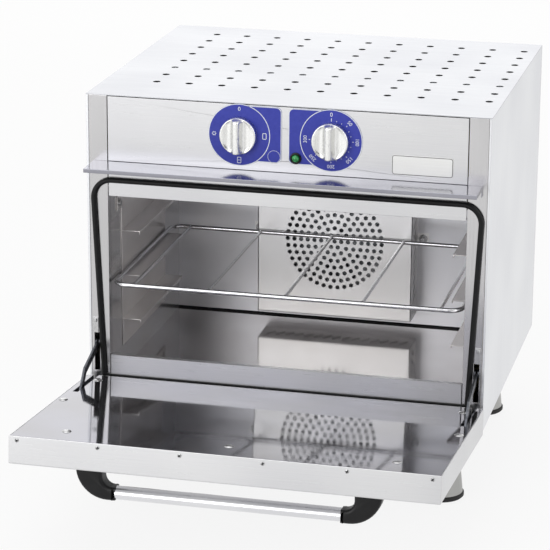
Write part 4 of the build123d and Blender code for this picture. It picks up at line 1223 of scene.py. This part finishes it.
    def build(self, joiner: Joiner) -> None:
        """Make the printing, knobs and lamp, and dress the plates and what is behind the panel.

        Args:
            joiner: What turns forms into pieces and dresses CAD nodes.
        """
        plain = BrushedStainless("#EDEDEC", 0.36, 0.6, second="#E6E6E4")
        # The dark ink is the shade in the name plate's engraved border: painted shade.
        dark = PrintedInk("#3C3B3D", second="#4A494B")
        dials = ((-1, "function", self.function_marks()), (1, "thermostat", self.thermostat_scale()))
        joiner.dress(PrintedAluminium(), ("dial_plate_left", "dial_plate_right"), 0.25)
        for side, label, marks in dials:
            printed = joined([self.printing(side), marks]).moved(self.on_dial(side, self.plate_face))
            joiner.add(f"{label}_printing", printed, "oven_body", PrintedInk(), (), "dial_blue")
            knob = f"{label}_knob"
            joiner.add(f"{knob}_shell", self.knob(side), knob, SatinAluminium(), [knob], "knob_metal", 50)
        black, body = Phenolic(), "oven_body"
        joiner.add("lamp_bezel_ring", self.bezel(), body, black, ["lamp_bezel"], "black_plastic")
        joiner.add("lamp_lens_dome", self.lens(), body, ClearTint(), ["lamp_lens"], "lamp_lens", 60)
        joiner.dress(plain, ("name_plate",), 0.3)
        joiner.add("name_plate_border_shade", self.badge_border(), "oven_body", dark, (), "plate_metal")
        joiner.dress(MouldedNylon(), ("function_switch", "thermostat", "terminal_block"), 0.4)


@dataclass
class Cavity:
    """The cavity: its bright walls, the fan behind its baffle, the element and the racks."""

    fan: Pair = (3.5, 172.7)
    depth: float = 384.0
    sheet: float = 1.2
    baffle: float = 250.0
    baffle_depth: float = 52.5
    baffle_corner: float = 1.5
    rings: int = 7
    pitch: float = 10.9
    hole: float = 3.6
    slots: int = 15
    slot_size: Pair = (22.0, 5.0)
    slot_angle: float = 35.0
    ear: Pair = (18.0, 9.0)
    knurl: float = 0.93
    element_radius: float = 98.0
    element_tube: float = 4.2
    element_lead: float = 11.0
    element_pitch: float = 22.0
    fan_gap: float = 6.0
    lead_end: float = 424.2
    fan_radius: float = 74.0
    fan_depth: float = 34.0
    fan_sheet: float = 1.2
    blades: int = 12
    blade_inner: float = 40.0
    blade_outer: float = 73.0
    floor: float = 25.0
    seam_half: float = 268.0
    seam_bite: float = 0.2

    def baffle_form(self) -> Form:
        """Return the baffle: a grille of round holes, four slotted flanges and two ears.

        Returns:
            The form, in millimetres.
        """
        half, deep = self.baffle / 2, self.baffle_depth
        holes = [circle(self.hole, 16)]
        for ring in range(1, self.rings + 1):
            holes += [circle(self.hole, 14, spot) for spot in circle(ring * self.pitch, 6 * ring)]
        square = oblong((-half, -half), (half, half), self.baffle_corner)
        face = plate(square, holes, self.sheet).moved(at_front(self.fan, self.depth - deep + self.sheet))
        rows = spread(self.slots, self.baffle / (self.slots + 1))
        cuts = [slot_outline(*self.slot_size, (0, row), self.slot_angle) for row in rows]
        flange = plate(oblong((-deep / 2, -half), (deep / 2, half)), cuts, self.sheet)
        middle = Matrix.Translation((self.fan[0], self.depth - deep / 2, self.fan[1]))
        lie = Matrix(((0, 0, 1, 0), (1, 0, 0, 0), (0, 1, 0, 0), (0, 0, 0, 1)))
        stand = Matrix.Translation((half - self.sheet, 0, 0)) @ lie
        turns = [Matrix.Rotation(math.radians(90 * quarter), 4, "Y") for quarter in range(4)]
        sides = [flange.moved(middle @ turn @ stand) for turn in turns]
        reach, ear = self.ear
        ears = [plate(oblong((x, -ear), (x + reach, ear)), [], self.sheet) for x in (-half - reach, half)]
        return joined([face, *sides, *(tab.moved(at_front(self.fan, self.depth)) for tab in ears)])

    def thumb_nuts(self) -> Form:
        """Return the two thumb nuts, each a knurled cap with a raised middle.

        Returns:
            The form, in millimetres.
        """
        rim, raised = [(7, 0), (7, 3.2), (6.4, 3.8)], [(4.6, 3.8), (4.2, 4.2), (4.2, 7.4), (3.6, 8), (0, 8)]
        cap = lathe(rim + raised, 36)
        for p in cap.points:
            if 6.2 < math.hypot(p.x, p.y) and round(math.degrees(math.atan2(p.y, p.x)) / 10) % 2:
                p.x, p.y = p.x * self.knurl, p.y * self.knurl
        reach = (self.baffle + self.ear[0]) / 2
        spots = [(self.fan[0] + x, self.fan[1]) for x in (-reach, reach)]
        return joined(cap.moved(at_front(spot, self.depth - self.sheet)) for spot in spots)

    def element(self) -> Form:
        """Return the heating element: two round turns of tube with straight leads to the back.

        Returns:
            The form, in millimetres.
        """
        tube, steps = circle(self.element_tube, 12), 72
        forms = []
        for turn in range(2):
            y = self.depth - self.fan_gap - self.element_pitch * (1.5 - turn)
            gap = math.asin(self.element_lead * (turn + 1) / self.element_radius)
            angles = [math.pi / 2 + gap + (math.tau - 2 * gap) * i / steps for i in range(steps + 1)]
            spots = [polar(self.element_radius, a, self.fan) for a in angles]
            ring = [Vector((x, y, z)) for x, z in spots]
            forms.append(sweep(ring, tube, OUT))
            for end in (ring[0], ring[-1]):
                run = [end + OUT * self.element_tube, Vector((end.x, self.lead_end, end.z))]
                forms.append(sweep(run, tube))
        return joined(forms)

    def impeller(self) -> Form:
        """Return the fan wheel: a disc, curved blades round its edge and a hub.

        Returns:
            The form, in millimetres.
        """
        sheet, steps = self.fan_sheet, 6
        path = []
        for step in range(steps + 1):
            reach = self.blade_inner + (self.blade_outer - self.blade_inner) * step / steps
            lag = math.radians(4 + 16 * math.sin(math.pi / 2 * step / steps))
            path.append(Vector((*polar(reach, lag), sheet)))
        disc = lathe([(0, 0), (self.fan_radius, 0), (self.fan_radius, sheet), (0, sheet)], 64)
        hub = lathe([(14, sheet), (14, 22), (12, 30), (4.2, 32.5), (0, 32.5)], 36)
        blade = sweep(path, oblong((-sheet / 2, 0), (sheet / 2, self.fan_depth - sheet)))
        turns = [Matrix.Rotation(math.tau * i / self.blades, 4, "Z") for i in range(self.blades)]
        wheel = joined([disc, hub, *(blade.moved(turn) for turn in turns)])
        return wheel.moved(at_front(self.fan, self.depth - self.fan_gap))

    def seam(self) -> Form:
        """Return a dark bead where the rear wall stands on the floor, standing in for the shadow line
        there: painted shade.
        """
        bead = [(0.0, 0.0), (0.0, 3.4), (1.2, 3.1), (2.6, 2.2), (3.4, 0.0)]
        return run_across(self.seam_half, self.depth + self.seam_bite, self.floor - self.seam_bite, bead)

    def build(self, joiner: Joiner) -> None:
        """Make the baffle, nuts, element, fan and bead, and dress the cavity's CAD nodes.

        Args:
            joiner: What turns forms into pieces and dresses CAD nodes.
        """
        # The rear wall and the baffle get lighter copies of the cavity's stainless, up to white, standing
        # in for light in the shaded back of the cavity: painted light.
        rear = BrightStainless("#F4F5FA", 0.34, 0.75, second="#EDEDF0")
        bright = BrightStainless("#FFFFFF", 0.34, 0.85, second="#FAF9F8", wave=0.01)
        rack = BrightStainless("#F0ECEA", 0.14, 0.55, second="#E2DDDB")
        zinc, sheath, steel = GalvanisedSheet(crystal=5.0), OxidisedSheath(), TurnedSteel()
        body, nuts = "oven_body", self.thumb_nuts()
        joiner.dress(BrightStainless(metallic=0.8, roughness=0.16), ("cavity_walls", "cavity_ceiling"))
        joiner.dress(rear, ("cavity_rear",))
        # The cavity floor is a darker copy of the walls' stainless, standing in for the dark that it
        # reflects: painted reflection.
        joiner.dress(BrightStainless("#A9A6A6", 0.1, second="#9F9B9A"), ("cavity_floor",))
        joiner.add("baffle_grille", self.baffle_form(), body, bright, ["fan_baffle"], "polished_steel")
        joiner.add("baffle_thumb_nuts", nuts, body, steel, ["baffle_nuts"], "screw_steel")
        # The dark bead stands in for the shadow where the rear wall meets the floor: painted shade.
        joiner.add("floor_seam_shadow_bead", self.seam(), body, SiliconeRubber(), (), "seal_rubber", 40)
        joiner.add("element_tube", self.element(), body, sheath, ["heating_element"], "element_sheath")
        joiner.add("fan_wheel", self.impeller(), "fan", zinc, ["fan_impeller"], "zinc_sheet")
        joiner.dress(rack, ("rack_plates", "rack_ledges_left", "rack_ledges_right"), 0.4)
        joiner.dress(steel, ("rack_pins",), 0.4)
        joiner.dress(DieCastAluminium(), ("fan_motor",))


@dataclass
class WireShelf:
    """The wire shelf: a frame bent round four corners, with rods welded across it."""

    half_width: float = 262.5
    front: float = 3.0
    rear: float = 327.0
    height: float = 181.0
    corner: float = 20.0
    frame_radius: float = 3.5
    rod_radius: float = 2.5
    rod_pitch: float = 116.0
    rods: int = 5
    weld_inset: float = 2.0

    def frame_form(self) -> Form:
        """Return the bent frame.

        Returns:
            The form, in millimetres.
        """
        outline = oblong((-self.half_width, self.front), (self.half_width, self.rear), self.corner, 10)
        path = [Vector((x, y, self.height)) for x, y in outline]
        return sweep(path, circle(self.frame_radius, 16), closed=True)

    def rods_form(self) -> Form:
        """Return the rods, flattened into the frame where they are welded.

        Returns:
            The form, in millimetres.
        """
        weld = lathe([(0, -2), (2.6, -1), (3.3, 1), (2.9, 3), (2.5, 4.5)], 14)
        forms = []
        for x in spread(self.rods, self.rod_pitch):
            ends = [Vector((x, y, self.height)) for y in (self.front, self.rear)]
            forms.append(sweep(ends, circle(self.rod_radius, 14)))
            for end, inward in zip(ends, (-OUT, OUT)):
                forms.append(weld.moved(facing(end + inward * self.weld_inset, inward)))
        return joined(forms)

    def build(self, joiner: Joiner) -> None:
        """Make the shelf's two pieces.

        Args:
            joiner: What turns forms into pieces and dresses CAD nodes.
        """
        for name, form, node in (
            ("shelf_wire_frame", self.frame_form(), "shelf_frame"),
            ("shelf_wire_rods", self.rods_form(), "shelf_rods"),
        ):
            joiner.add(name, form, "shelf", DrawnWire(), [node], "bright_wire", 60)


@dataclass
class DoorSeal:
    """The door seal: a hollow silicone bulb over the opening and down both its sides."""

    top_half: float = 290.5
    bottom_half: float = 276.0
    top: float = 343.0
    foot: float = 40.0
    low: float = 32.0
    corner: float = 28.0
    bulb_half: float = 3.98
    bulb_middle: float = 3.4
    bulb_height: float = 3.6
    strip_half: float = 280.0
    strip_bite: Pair = (0.1, 0.2)

    def form(self) -> Form:
        """Return the bulb, cut square at its two feet.

        Returns:
            The form, in millimetres.
        """
        slope = (self.top_half - self.bottom_half) / (self.top - self.low)
        foot_half = self.bottom_half + slope * (self.foot - self.low)
        right = [(foot_half, self.foot, 0.0), (self.top_half, self.top, self.corner)]
        left = [(-x, z, corner) for x, z, corner in reversed(right)]
        path = [Vector((x, 0, z)) for x, z in rounded(right + left, 12)]
        bulb = []
        for step in range(9):
            across, up = polar(1.0, math.pi * (1 - step / 8))
            bulb.append((self.bulb_half * across, self.bulb_middle + self.bulb_height * up))
        root = [(-2.4, 0.0), (-2.4, 1.0), (-3.6, 1.7)]
        profile = root + bulb + [(-across, up) for across, up in reversed(root)]
        return sweep(path, profile, OUT)

    def strip(self) -> Form:
        """Return a flat black strip along the sill's foot, between the seal's two feet, standing in for the
        shadow in the gap below the sill: painted shade.

        Returns:
            The form, in millimetres.
        """
        lip = [(0, 0), (0, -3.6), (1.6, -3.6), (2.5, -2.7), (2.5, -0.9), (1.6, 0)]
        inward, down = self.strip_bite
        return run_across(self.strip_half, -inward, self.foot - down, lip)

    def build(self, joiner: Joiner) -> None:
        """Make the seal and the strip.

        Args:
            joiner: What turns forms into pieces and dresses CAD nodes.
        """
        rubber, slot = SiliconeRubber(), "seal_rubber"
        joiner.add("door_seal_bulb", self.form(), "oven_body", rubber, ["door_gasket"], slot, 40)
        # The black strip stands in for the shadow in the gap below the sill: painted shade.
        joiner.add("sill_foot_shadow_strip", self.strip(), "oven_body", rubber, (), slot, 40)


@dataclass
class Door:
    """The door, drawn closed and turned down: shell, bright inner panel, screws and handle."""

    inner_y: float = -7.5
    outer_y: float = -47.8
    top: float = 359.7
    rim_pitch: float = 116.0
    rim_count: int = 6
    rim_depth: float = 6.0
    rivets: tuple[Pair, ...] = ((290.5, 154.5), (233.0, 314.5), (276.0, 32.5))
    middle_rivet: Pair = (0.0, 314.5)
    screw_radius: float = 3.0
    screw_height: float = 1.5
    recess_depth: float = 0.9
    handle_from_top: float = 47.0
    handle_half: float = 217.0
    bar_half: float = 159.0
    bar_size: Pair = (19.0, 24.0)
    bar_overlap: float = 3.0
    standoff: float = 41.0
    leg_width: float = 39.0
    bend: float = 46.0
    inner_bend: float = 14.0
    bracket_height: float = 26.0
    bracket_edge: float = 5.0

    def recessed_screw(self) -> Form:
        """Return a pan-head screw with a cross recess, standing on local z 0.

        Returns:
            The form, in millimetres.
        """
        sides = 48
        rings = []
        for radius in (0.01, 0.35, 0.7, 1.1, 1.5, 1.9, 2.3, 2.7, 2.95, self.screw_radius):
            ring = []
            for x, y in circle(radius, sides):
                height = self.screw_height - 0.09 * radius**2 * (1 if radius < 2.7 else 1.15)
                arm = min(abs(x), abs(y)) < 0.5 and radius < 2.2
                ring.append(Vector((x, y, height - (self.recess_depth if arm else 0))))
            rings.append(ring)
        rings.append([Vector((x, y, 0)) for x, y in circle(self.screw_radius, sides)])
        return skinned(rings)

    def on_rim(self, form: Form) -> Form:
        """Return a form set at each screw of the door's rim, each turned as it was driven.

        Args:
            form: The form, standing on local z 0.

        Returns:
            The form, in millimetres.
        """
        forms = []
        for i, x in enumerate(spread(self.rim_count, self.rim_pitch)):
            place = facing((x, self.inner_y - self.rim_depth, self.top), UP, (0, 1, 0))
            forms.append(form.moved(place @ Matrix.Rotation(0.4 + i, 4, "Z")))
        return joined(forms)

    def cross(self) -> Form:
        """Return a dark plate on the floor of a cross recess, standing in for the shade inside it: painted
        shade.

        Returns:
            The form, in millimetres.
        """
        long, short = 2.1, 0.62
        corner = [(short, long), (short, short), (long, short)]
        outline = []
        for sx, sy in ((1, 1), (1, -1), (-1, -1), (-1, 1)):
            points = [(sx * x, sy * y) for x, y in corner]
            outline += points if sx * sy > 0 else points[::-1]
        return plate(outline, [], 0.25).shifted(0, 0, 1.1)

    def screws(self) -> Form:
        """Return the screws of the door's rim and the rivets of its inner panel.

        Returns:
            The form, in millimetres.
        """
        rivet = lathe([(0, 2.2), (2.4, 2.1), (4.6, 1.6), (6.2, 0.8), (7.0, 0.0)], 32)
        spots = [(side * x, z) for x, z in self.rivets for side in (-1, 1)] + [self.middle_rivet]
        places = [facing((x, self.inner_y, z), (0, 1, 0)) for x, z in spots]
        return joined([self.on_rim(self.recessed_screw()), *(rivet.moved(place) for place in places)])

    def bracket(self) -> Form:
        """Return the right handle bracket: a moulded leg that bends inwards to hold the bar.

        Returns:
            The form, in millimetres.
        """
        outer = self.outer_y - self.standoff - self.bar_size[0] / 2
        inner = self.outer_y - self.standoff + self.bar_size[0] / 2
        leg = self.handle_half - self.leg_width
        corners = [
            (leg, self.outer_y, 0.0),
            (self.handle_half, self.outer_y, 0.0),
            (self.handle_half, outer, self.bend),
            (self.bar_half, outer, 1.0),
            (self.bar_half, inner, 1.0),
            (leg, inner, self.inner_bend),
        ]
        return self.softened(rounded(corners, 12), self.bracket_height, self.bracket_edge)

    def softened(self, outline: Sequence[Pair], height: float, edge: float) -> Form:
        """Return a block of a closed outline in x and y with rounded long edges.

        Args:
            outline: The outline's points.
            height: The block's height about local z 0.
            edge: The radius of its rounded edges.

        Returns:
            The block, still square where it meets the door's face.
        """
        count, steps = len(outline), 5
        levels = []
        for step in range(steps + 1):
            a = math.pi / 2 * step / steps
            levels.append((edge * (1 - math.sin(a)), -height / 2 + edge * (1 - math.cos(a))))
        levels += [(inset, -z) for inset, z in reversed(levels)]
        rings = []
        for inset, z in levels:
            ring = []
            for i, (x, y) in enumerate(outline):
                run = (Vector(outline[(i + 1) % count]) - Vector(outline[i - 1])).normalized()
                push = 0.0 if y > self.outer_y - 0.01 else inset
                ring.append(Vector((x + run.y * push, y - run.x * push, z)))
            rings.append(ring)
        form = skinned(rings)
        form.faces.append(tuple(range(count)))
        form.faces.append(tuple(range(len(form.points) - count, len(form.points))))
        return form

    def bar(self) -> Form:
        """Return the oval bar of the handle.

        Returns:
            The form, in millimetres.
        """
        a, b = self.bar_size[0] / 2, self.bar_size[1] / 2
        oval = [(a * x, b * y) for x, y in circle(1.0, 40)]
        y, z = self.outer_y - self.standoff, self.top - self.handle_from_top
        return run_across(self.bar_half + self.bar_overlap, y, z, oval)

    def build(self, joiner: Joiner) -> None:
        """Make the screws and the handle, and dress the door's CAD nodes.

        Args:
            joiner: What turns forms into pieces and dresses CAD nodes.
        """
        turn = joiner.door_turn()
        screws, recess_shades = self.screws().moved(turn), self.on_rim(self.cross()).moved(turn)
        # The dark copy of the screw steel fills the cross recesses as their shade: painted shade.
        dark, grip = TurnedSteel("#2E2E2F", second="#1C1C1D"), Phenolic("#0C0C0E", second="#141416")
        tube = BrushedStainless("#E8E8EA", 0.2, second="#DCDCDF")
        joiner.dress(BrushedStainless(), ("door_outer",), 0.5)
        # The inner panel's grey-blue is a darker copy of its stainless, standing in for the dark cavity
        # that it reflects: painted reflection.
        joiner.dress(BrightStainless("#82828B", 0.05, second="#7B7A7E"), ("door_inner",), 0.5)
        joiner.add("door_rim_screws", screws, "door", TurnedSteel(), ["door_screws"], "screw_steel")
        joiner.add("door_rim_recess_shade", recess_shades, "door", dark, (), "screw_steel")
        bracket = self.bracket().shifted(0, 0, self.top - self.handle_from_top)
        for side, form in (("left", bracket.mirrored()), ("right", bracket)):
            node = f"handle_bracket_{side}"
            joiner.add(f"handle_grip_{side}", form.moved(turn), "door", grip, [node], "black_plastic", 40)
        joiner.add("handle_tube", self.bar().moved(turn), "door", tube, ["handle_bar"], "handle_steel", 40)


@dataclass
class Insulation:
    """The mineral wool: soft batts laid round the cavity, and one in the door."""

    cell: float = 12.0
    edge: float = 3.0
    sag: float = 0.8
    clump: float = 22.0
    front: float = 14.0
    rear: float = 384.0
    floor: float = 25.0
    ceiling: float = 333.0
    half: float = 268.0
    above: Pair = (334.5, 358.5)
    below: Pair = (12.5, 23.5)
    below_half: float = 271.0
    beside: Pair = (269.5, 295.5)
    beside_front: float = 116.0
    behind: Pair = (385.5, 409.5)
    hatch: tuple[float, float, float, float] = (-54.8, 61.8, 114.4, 231.0)
    lead_slit: Triple = (-23.5, 30.5, 280.0)
    door_low: Triple = (-279.2, -46.3, 5.5)
    door_high: Triple = (279.2, -9.0, 356.7)

    def cuts(self, low: float, high: float) -> list[float]:
        """Return the places of a batt's grid lines between two faces, closer at its edges.

        Args:
            low: The batt's lower face.
            high: Its upper face.

        Returns:
            The places, in rising order.
        """
        inside = high - low - 2 * self.edge
        count = max(2, round(inside / self.cell))
        inner = [low + self.edge + inside * i / count for i in range(count + 1)]
        return [low, low + 0.4 * self.edge, *inner, high - 0.4 * self.edge, high]

    def batt(self, low: Sequence[float], high: Sequence[float]) -> Form:
        """Return a slab of wool between two corners.

        Args:
            low: Its lowest corner.
            high: Its highest corner.

        Returns:
            The slab, its edges rounded and its faces a little uneven, never outside the corners.
        """
        form = Form()
        lines = [self.cuts(low[axis], high[axis]) for axis in range(3)]
        for axis in range(3):
            first, second = lines[(axis + 1) % 3], lines[(axis + 2) % 3]
            for level in (low[axis], high[axis]):
                start = len(form.points)
                for a in first:
                    for b in second:
                        point = Vector((0, 0, 0))
                        point[axis], point[(axis + 1) % 3], point[(axis + 2) % 3] = level, a, b
                        form.points.append(self.settled(point, low, high))
                width = len(second)
                for i in range(len(first) - 1):
                    for k in range(start + i * width, start + (i + 1) * width - 1):
                        form.faces.append((k, k + 1, k + width + 1, k + width))
        return form

    def settled(self, point: Vector, low: Sequence[float], high: Sequence[float]) -> Vector:
        """Return a batt's point drawn in to its rounded edges and uneven faces.

        Args:
            point: The point on the square slab.
            low: The slab's lowest corner.
            high: Its highest corner.

        Returns:
            The point on the soft slab.
        """
        edge = self.edge
        core = Vector(min(max(v, least + edge), most - edge) for v, least, most in zip(point, low, high))
        out = (point - core).normalized()
        return core + out * (edge - self.sag * (0.5 + 0.5 * noise.noise(point / self.clump)))

    def body(self) -> Form:
        """Return the batts over, under, beside and behind the cavity.

        Returns:
            The form, in millimetres.
        """
        left, right, low, high = self.hatch
        start, end, top = self.lead_slit
        (y0, y1), (over0, over1), (under0, under1) = self.behind, self.above, self.below
        z0, z1, wide = self.floor, self.ceiling, self.below_half
        side = self.batt((self.beside[0], self.beside_front, z0), (self.beside[1], self.rear, z1))
        return joined(
            [
                self.batt((-self.half, self.front, over0), (self.half, self.rear, over1)),
                self.batt((-wide, self.front, under0), (wide, self.rear, under1)),
                side,
                side.mirrored(),
                self.batt((-self.half, y0, z0), (left, y1, z1)),
                self.batt((right, y0, z0), (self.half, y1, z1)),
                self.batt((left, y0, z0), (right, y1, low)),
                self.batt((left, y0, high), (start, y1, z1)),
                self.batt((end, y0, high), (right, y1, z1)),
                self.batt((start, y0, top), (end, y1, z1)),
            ]
        )

    def build(self, joiner: Joiner) -> None:
        """Make the batts of the body and the door.

        Args:
            joiner: What turns forms into pieces and dresses CAD nodes.
        """
        door = self.batt(self.door_low, self.door_high).moved(joiner.door_turn())
        for name, form, body, node in (
            ("body_wool_batts", self.body(), "oven_body", "body_wool"),
            ("door_wool_batt", door, "door", "door_wool"),
        ):
            joiner.add(name, form, body, MineralWool(), [node], "wool", 180)


@dataclass
class HingeGear:
    """The door's hinge arms, channels and stays, zinc-plated, with their steel pins and guides."""

    edge: float = 0.3

    def build(self, joiner: Joiner) -> None:
        """Dress the hinge pieces.

        Args:
            joiner: What turns forms into pieces and dresses CAD nodes.
        """
        # The stay arms get a darker copy of the hinges' zinc: painted shade.
        shaded_stay_zinc = ZincPlatedSteel("#707278", second="#4A4C51")
        joiner.dress(ZincPlatedSteel(), ("hinge_arms", "hinge_channels"), self.edge)
        joiner.dress(shaded_stay_zinc, ("stay_arm_left", "stay_arm_right"), self.edge)
        joiner.dress(TurnedSteel(), ("hinge_pins", "stay_pins", "stay_guides"), self.edge)


@dataclass
class Footing:
    """The four feet and their rubber pads, and the cable gland at the back."""

    def build(self, joiner: Joiner) -> None:
        """Dress the feet, pads and gland.

        Args:
            joiner: What turns forms into pieces and dresses CAD nodes.
        """
        joiner.dress(BrushedStainless("#B6B6B4", 0.36, second="#A6A6A4"), ("feet",))
        joiner.dress(NitrileRubber(), ("foot_pads",))
        joiner.dress(Phenolic(), ("cable_gland",))


# Studio


@dataclass
class Studio:
    """The camera of the photograph, a pale floor and soft light, in metres."""

    place: Triple = (0.81644, -3.53466, 1.45281)
    right: Triple = (0.9718625, 0.2354814, 0.00563788)
    down: Triple = (0.07532681, -0.2880273, -0.95465499)
    ahead: Triple = (-0.22317963, 0.92821807, -0.29766099)
    sensor: float = 36.0
    lens: float = 166.18
    aim: Triple = (0.0, 0.0, 0.35)
    surround: float = 0.55
    glow: float = 0.85
    floor_half: float = 9.0
    card_low: Pair = (0.15, 0.0)
    card_high: Pair = (2.9, 1.75)
    card_y: float = -4.4

    def camera(self) -> None:
        """Set the camera where the photograph was taken from."""
        data = bpy.data.cameras.new("camera")
        data.sensor_width, data.lens = self.sensor, self.lens
        data.clip_start, data.clip_end = 0.1, 60.0
        camera = placed("camera", data)
        axes = Matrix((self.right, [-v for v in self.down], [-v for v in self.ahead])).transposed()
        camera.matrix_world = Matrix.Translation(self.place) @ axes.to_4x4()
        bpy.context.scene.camera = camera

    def seen(self, tree: Tree) -> Socket:
        """Return 1 for camera, glossy and transmission rays, and 0 for the rest.

        Args:
            tree: The node tree.

        Returns:
            The value.
        """
        rays = add_node(tree, "ShaderNodeLightPath").outputs
        largest = {"operation": "MAXIMUM"}
        pair = {0: rays["Is Camera Ray"], 1: rays["Is Glossy Ray"]}
        either = add_node(tree, "ShaderNodeMath", largest, pair).outputs[0]
        pair = {0: either, 1: rays["Is Transmission Ray"]}
        return add_node(tree, "ShaderNodeMath", largest, pair).outputs[0]

    def world(self) -> None:
        """Set a white surround that is seen at strength 1 and lights softly."""
        world = bpy.data.worlds.new("surround")
        world.use_nodes = True
        bpy.context.scene.world = world
        tree = world.node_tree
        background = tree.nodes["Background"]
        background.inputs["Color"].default_value = (1, 1, 1, 1)
        limits = {"Value": self.seen(tree), "To Min": self.surround, "To Max": 1.0}
        strength = add_node(tree, "ShaderNodeMapRange", None, limits).outputs["Result"]
        tree.links.new(strength, background.inputs["Strength"])

    def board(self, name: str, corners: Sequence[Triple], paint: str, colour: str) -> bpy.types.Object:
        """Put up a flat matt board that isn't part of the oven.

        Args:
            name: The board's name.
            corners: Its four corners, in metres.
            paint: The name of its material.
            colour: Its sRGB hex colour.

        Returns:
            The board.
        """
        made = bpy.data.materials.new(paint)
        made.use_nodes = True
        shader = made.node_tree.nodes["Principled BSDF"]
        shader.inputs["Base Color"].default_value = linear(colour)
        shader.inputs["Roughness"].default_value = 0.9
        mesh = bpy.data.meshes.new(name)
        mesh.from_pydata(corners, [], [(0, 1, 2, 3)])
        mesh.materials.append(made)
        board = placed(name, mesh)
        return board

    def floor(self) -> None:
        """Lay a pale floor that keeps the oven's shadow."""
        half = self.floor_half
        corners = [(x, y, 0.0) for x, y in oblong((-half, -half), (half, half))]
        tree = self.board("floor", corners, "pale_floor", "#F4F4F3").active_material.node_tree
        paint = tree.nodes["Principled BSDF"].outputs["BSDF"]
        inputs = {"Color": (1, 1, 1, 1), "Strength": 1.0}
        light = add_node(tree, "ShaderNodeEmission", None, inputs).outputs["Emission"]
        inputs = {0: self.seen(tree), 1: self.glow}
        share = add_node(tree, "ShaderNodeMath", {"operation": "MULTIPLY"}, inputs).outputs[0]
        mix = add_node(tree, "ShaderNodeMixShader", None, {0: share, 1: paint, 2: light})
        tree.links.new(mix.outputs["Shader"], tree.nodes["Material Output"].inputs["Surface"])

    def card(self) -> None:
        """Stand a dark card behind the camera, so that bright metal has something dark to show."""
        corners = [(x, self.card_y, z) for x, z in oblong(self.card_low, self.card_high)]
        self.board("dark_card", corners, "card_black", "#3C3C46").visible_camera = False

    def lamp(self, name: str, place: Triple, size: float, power: float) -> None:
        """Hang a square soft lamp that faces the oven.

        Args:
            name: The lamp's name.
            place: Where it hangs, in metres.
            size: Its side, in metres.
            power: Its power, in watts.
        """
        data = bpy.data.lights.new(name, "AREA")
        data.size, data.energy = size, power
        lamp = placed(name, data)
        lamp.location = place
        lamp.rotation_euler = (Vector(place) - Vector(self.aim)).to_track_quat("Z", "Y").to_euler()

    def build(self) -> None:
        """Set the camera, surround, floor, card and lamps."""
        self.camera()
        self.world()
        self.floor()
        self.card()
        self.lamp("key", (-1.9, -4.0, 1.5), 3.0, 58.0)
        self.lamp("fill", (3.4, -1.2, 1.8), 2.6, 26.0)
        self.lamp("back", (-0.7, 3.4, 1.8), 3.2, 25.0)
        self.lamp("overhead", (-0.4, -0.6, 3.6), 3.2, 28.0)
        LOG.info("studio: camera, surround, floor, card and four lamps")


def main() -> None:
    """Build the studio and every sub-assembly."""
    logging.basicConfig(level=logging.INFO, format="%(name)s %(message)s")
    bpy.context.scene.view_settings.view_transform = "Standard"
    Studio().build()
    joiner = Joiner()
    outside = (Casework(), ControlPanel())
    inside = (Cavity(), WireShelf(), DoorSeal())
    moving = (Door(), Insulation(), HingeGear(), Footing())
    for part in (*outside, *inside, *moving):
        part.build(joiner)
        LOG.info("%s is built", type(part).__name__)
    LOG.info("%d pieces were made", joiner.pieces)


if __name__ == "__main__":
    main()
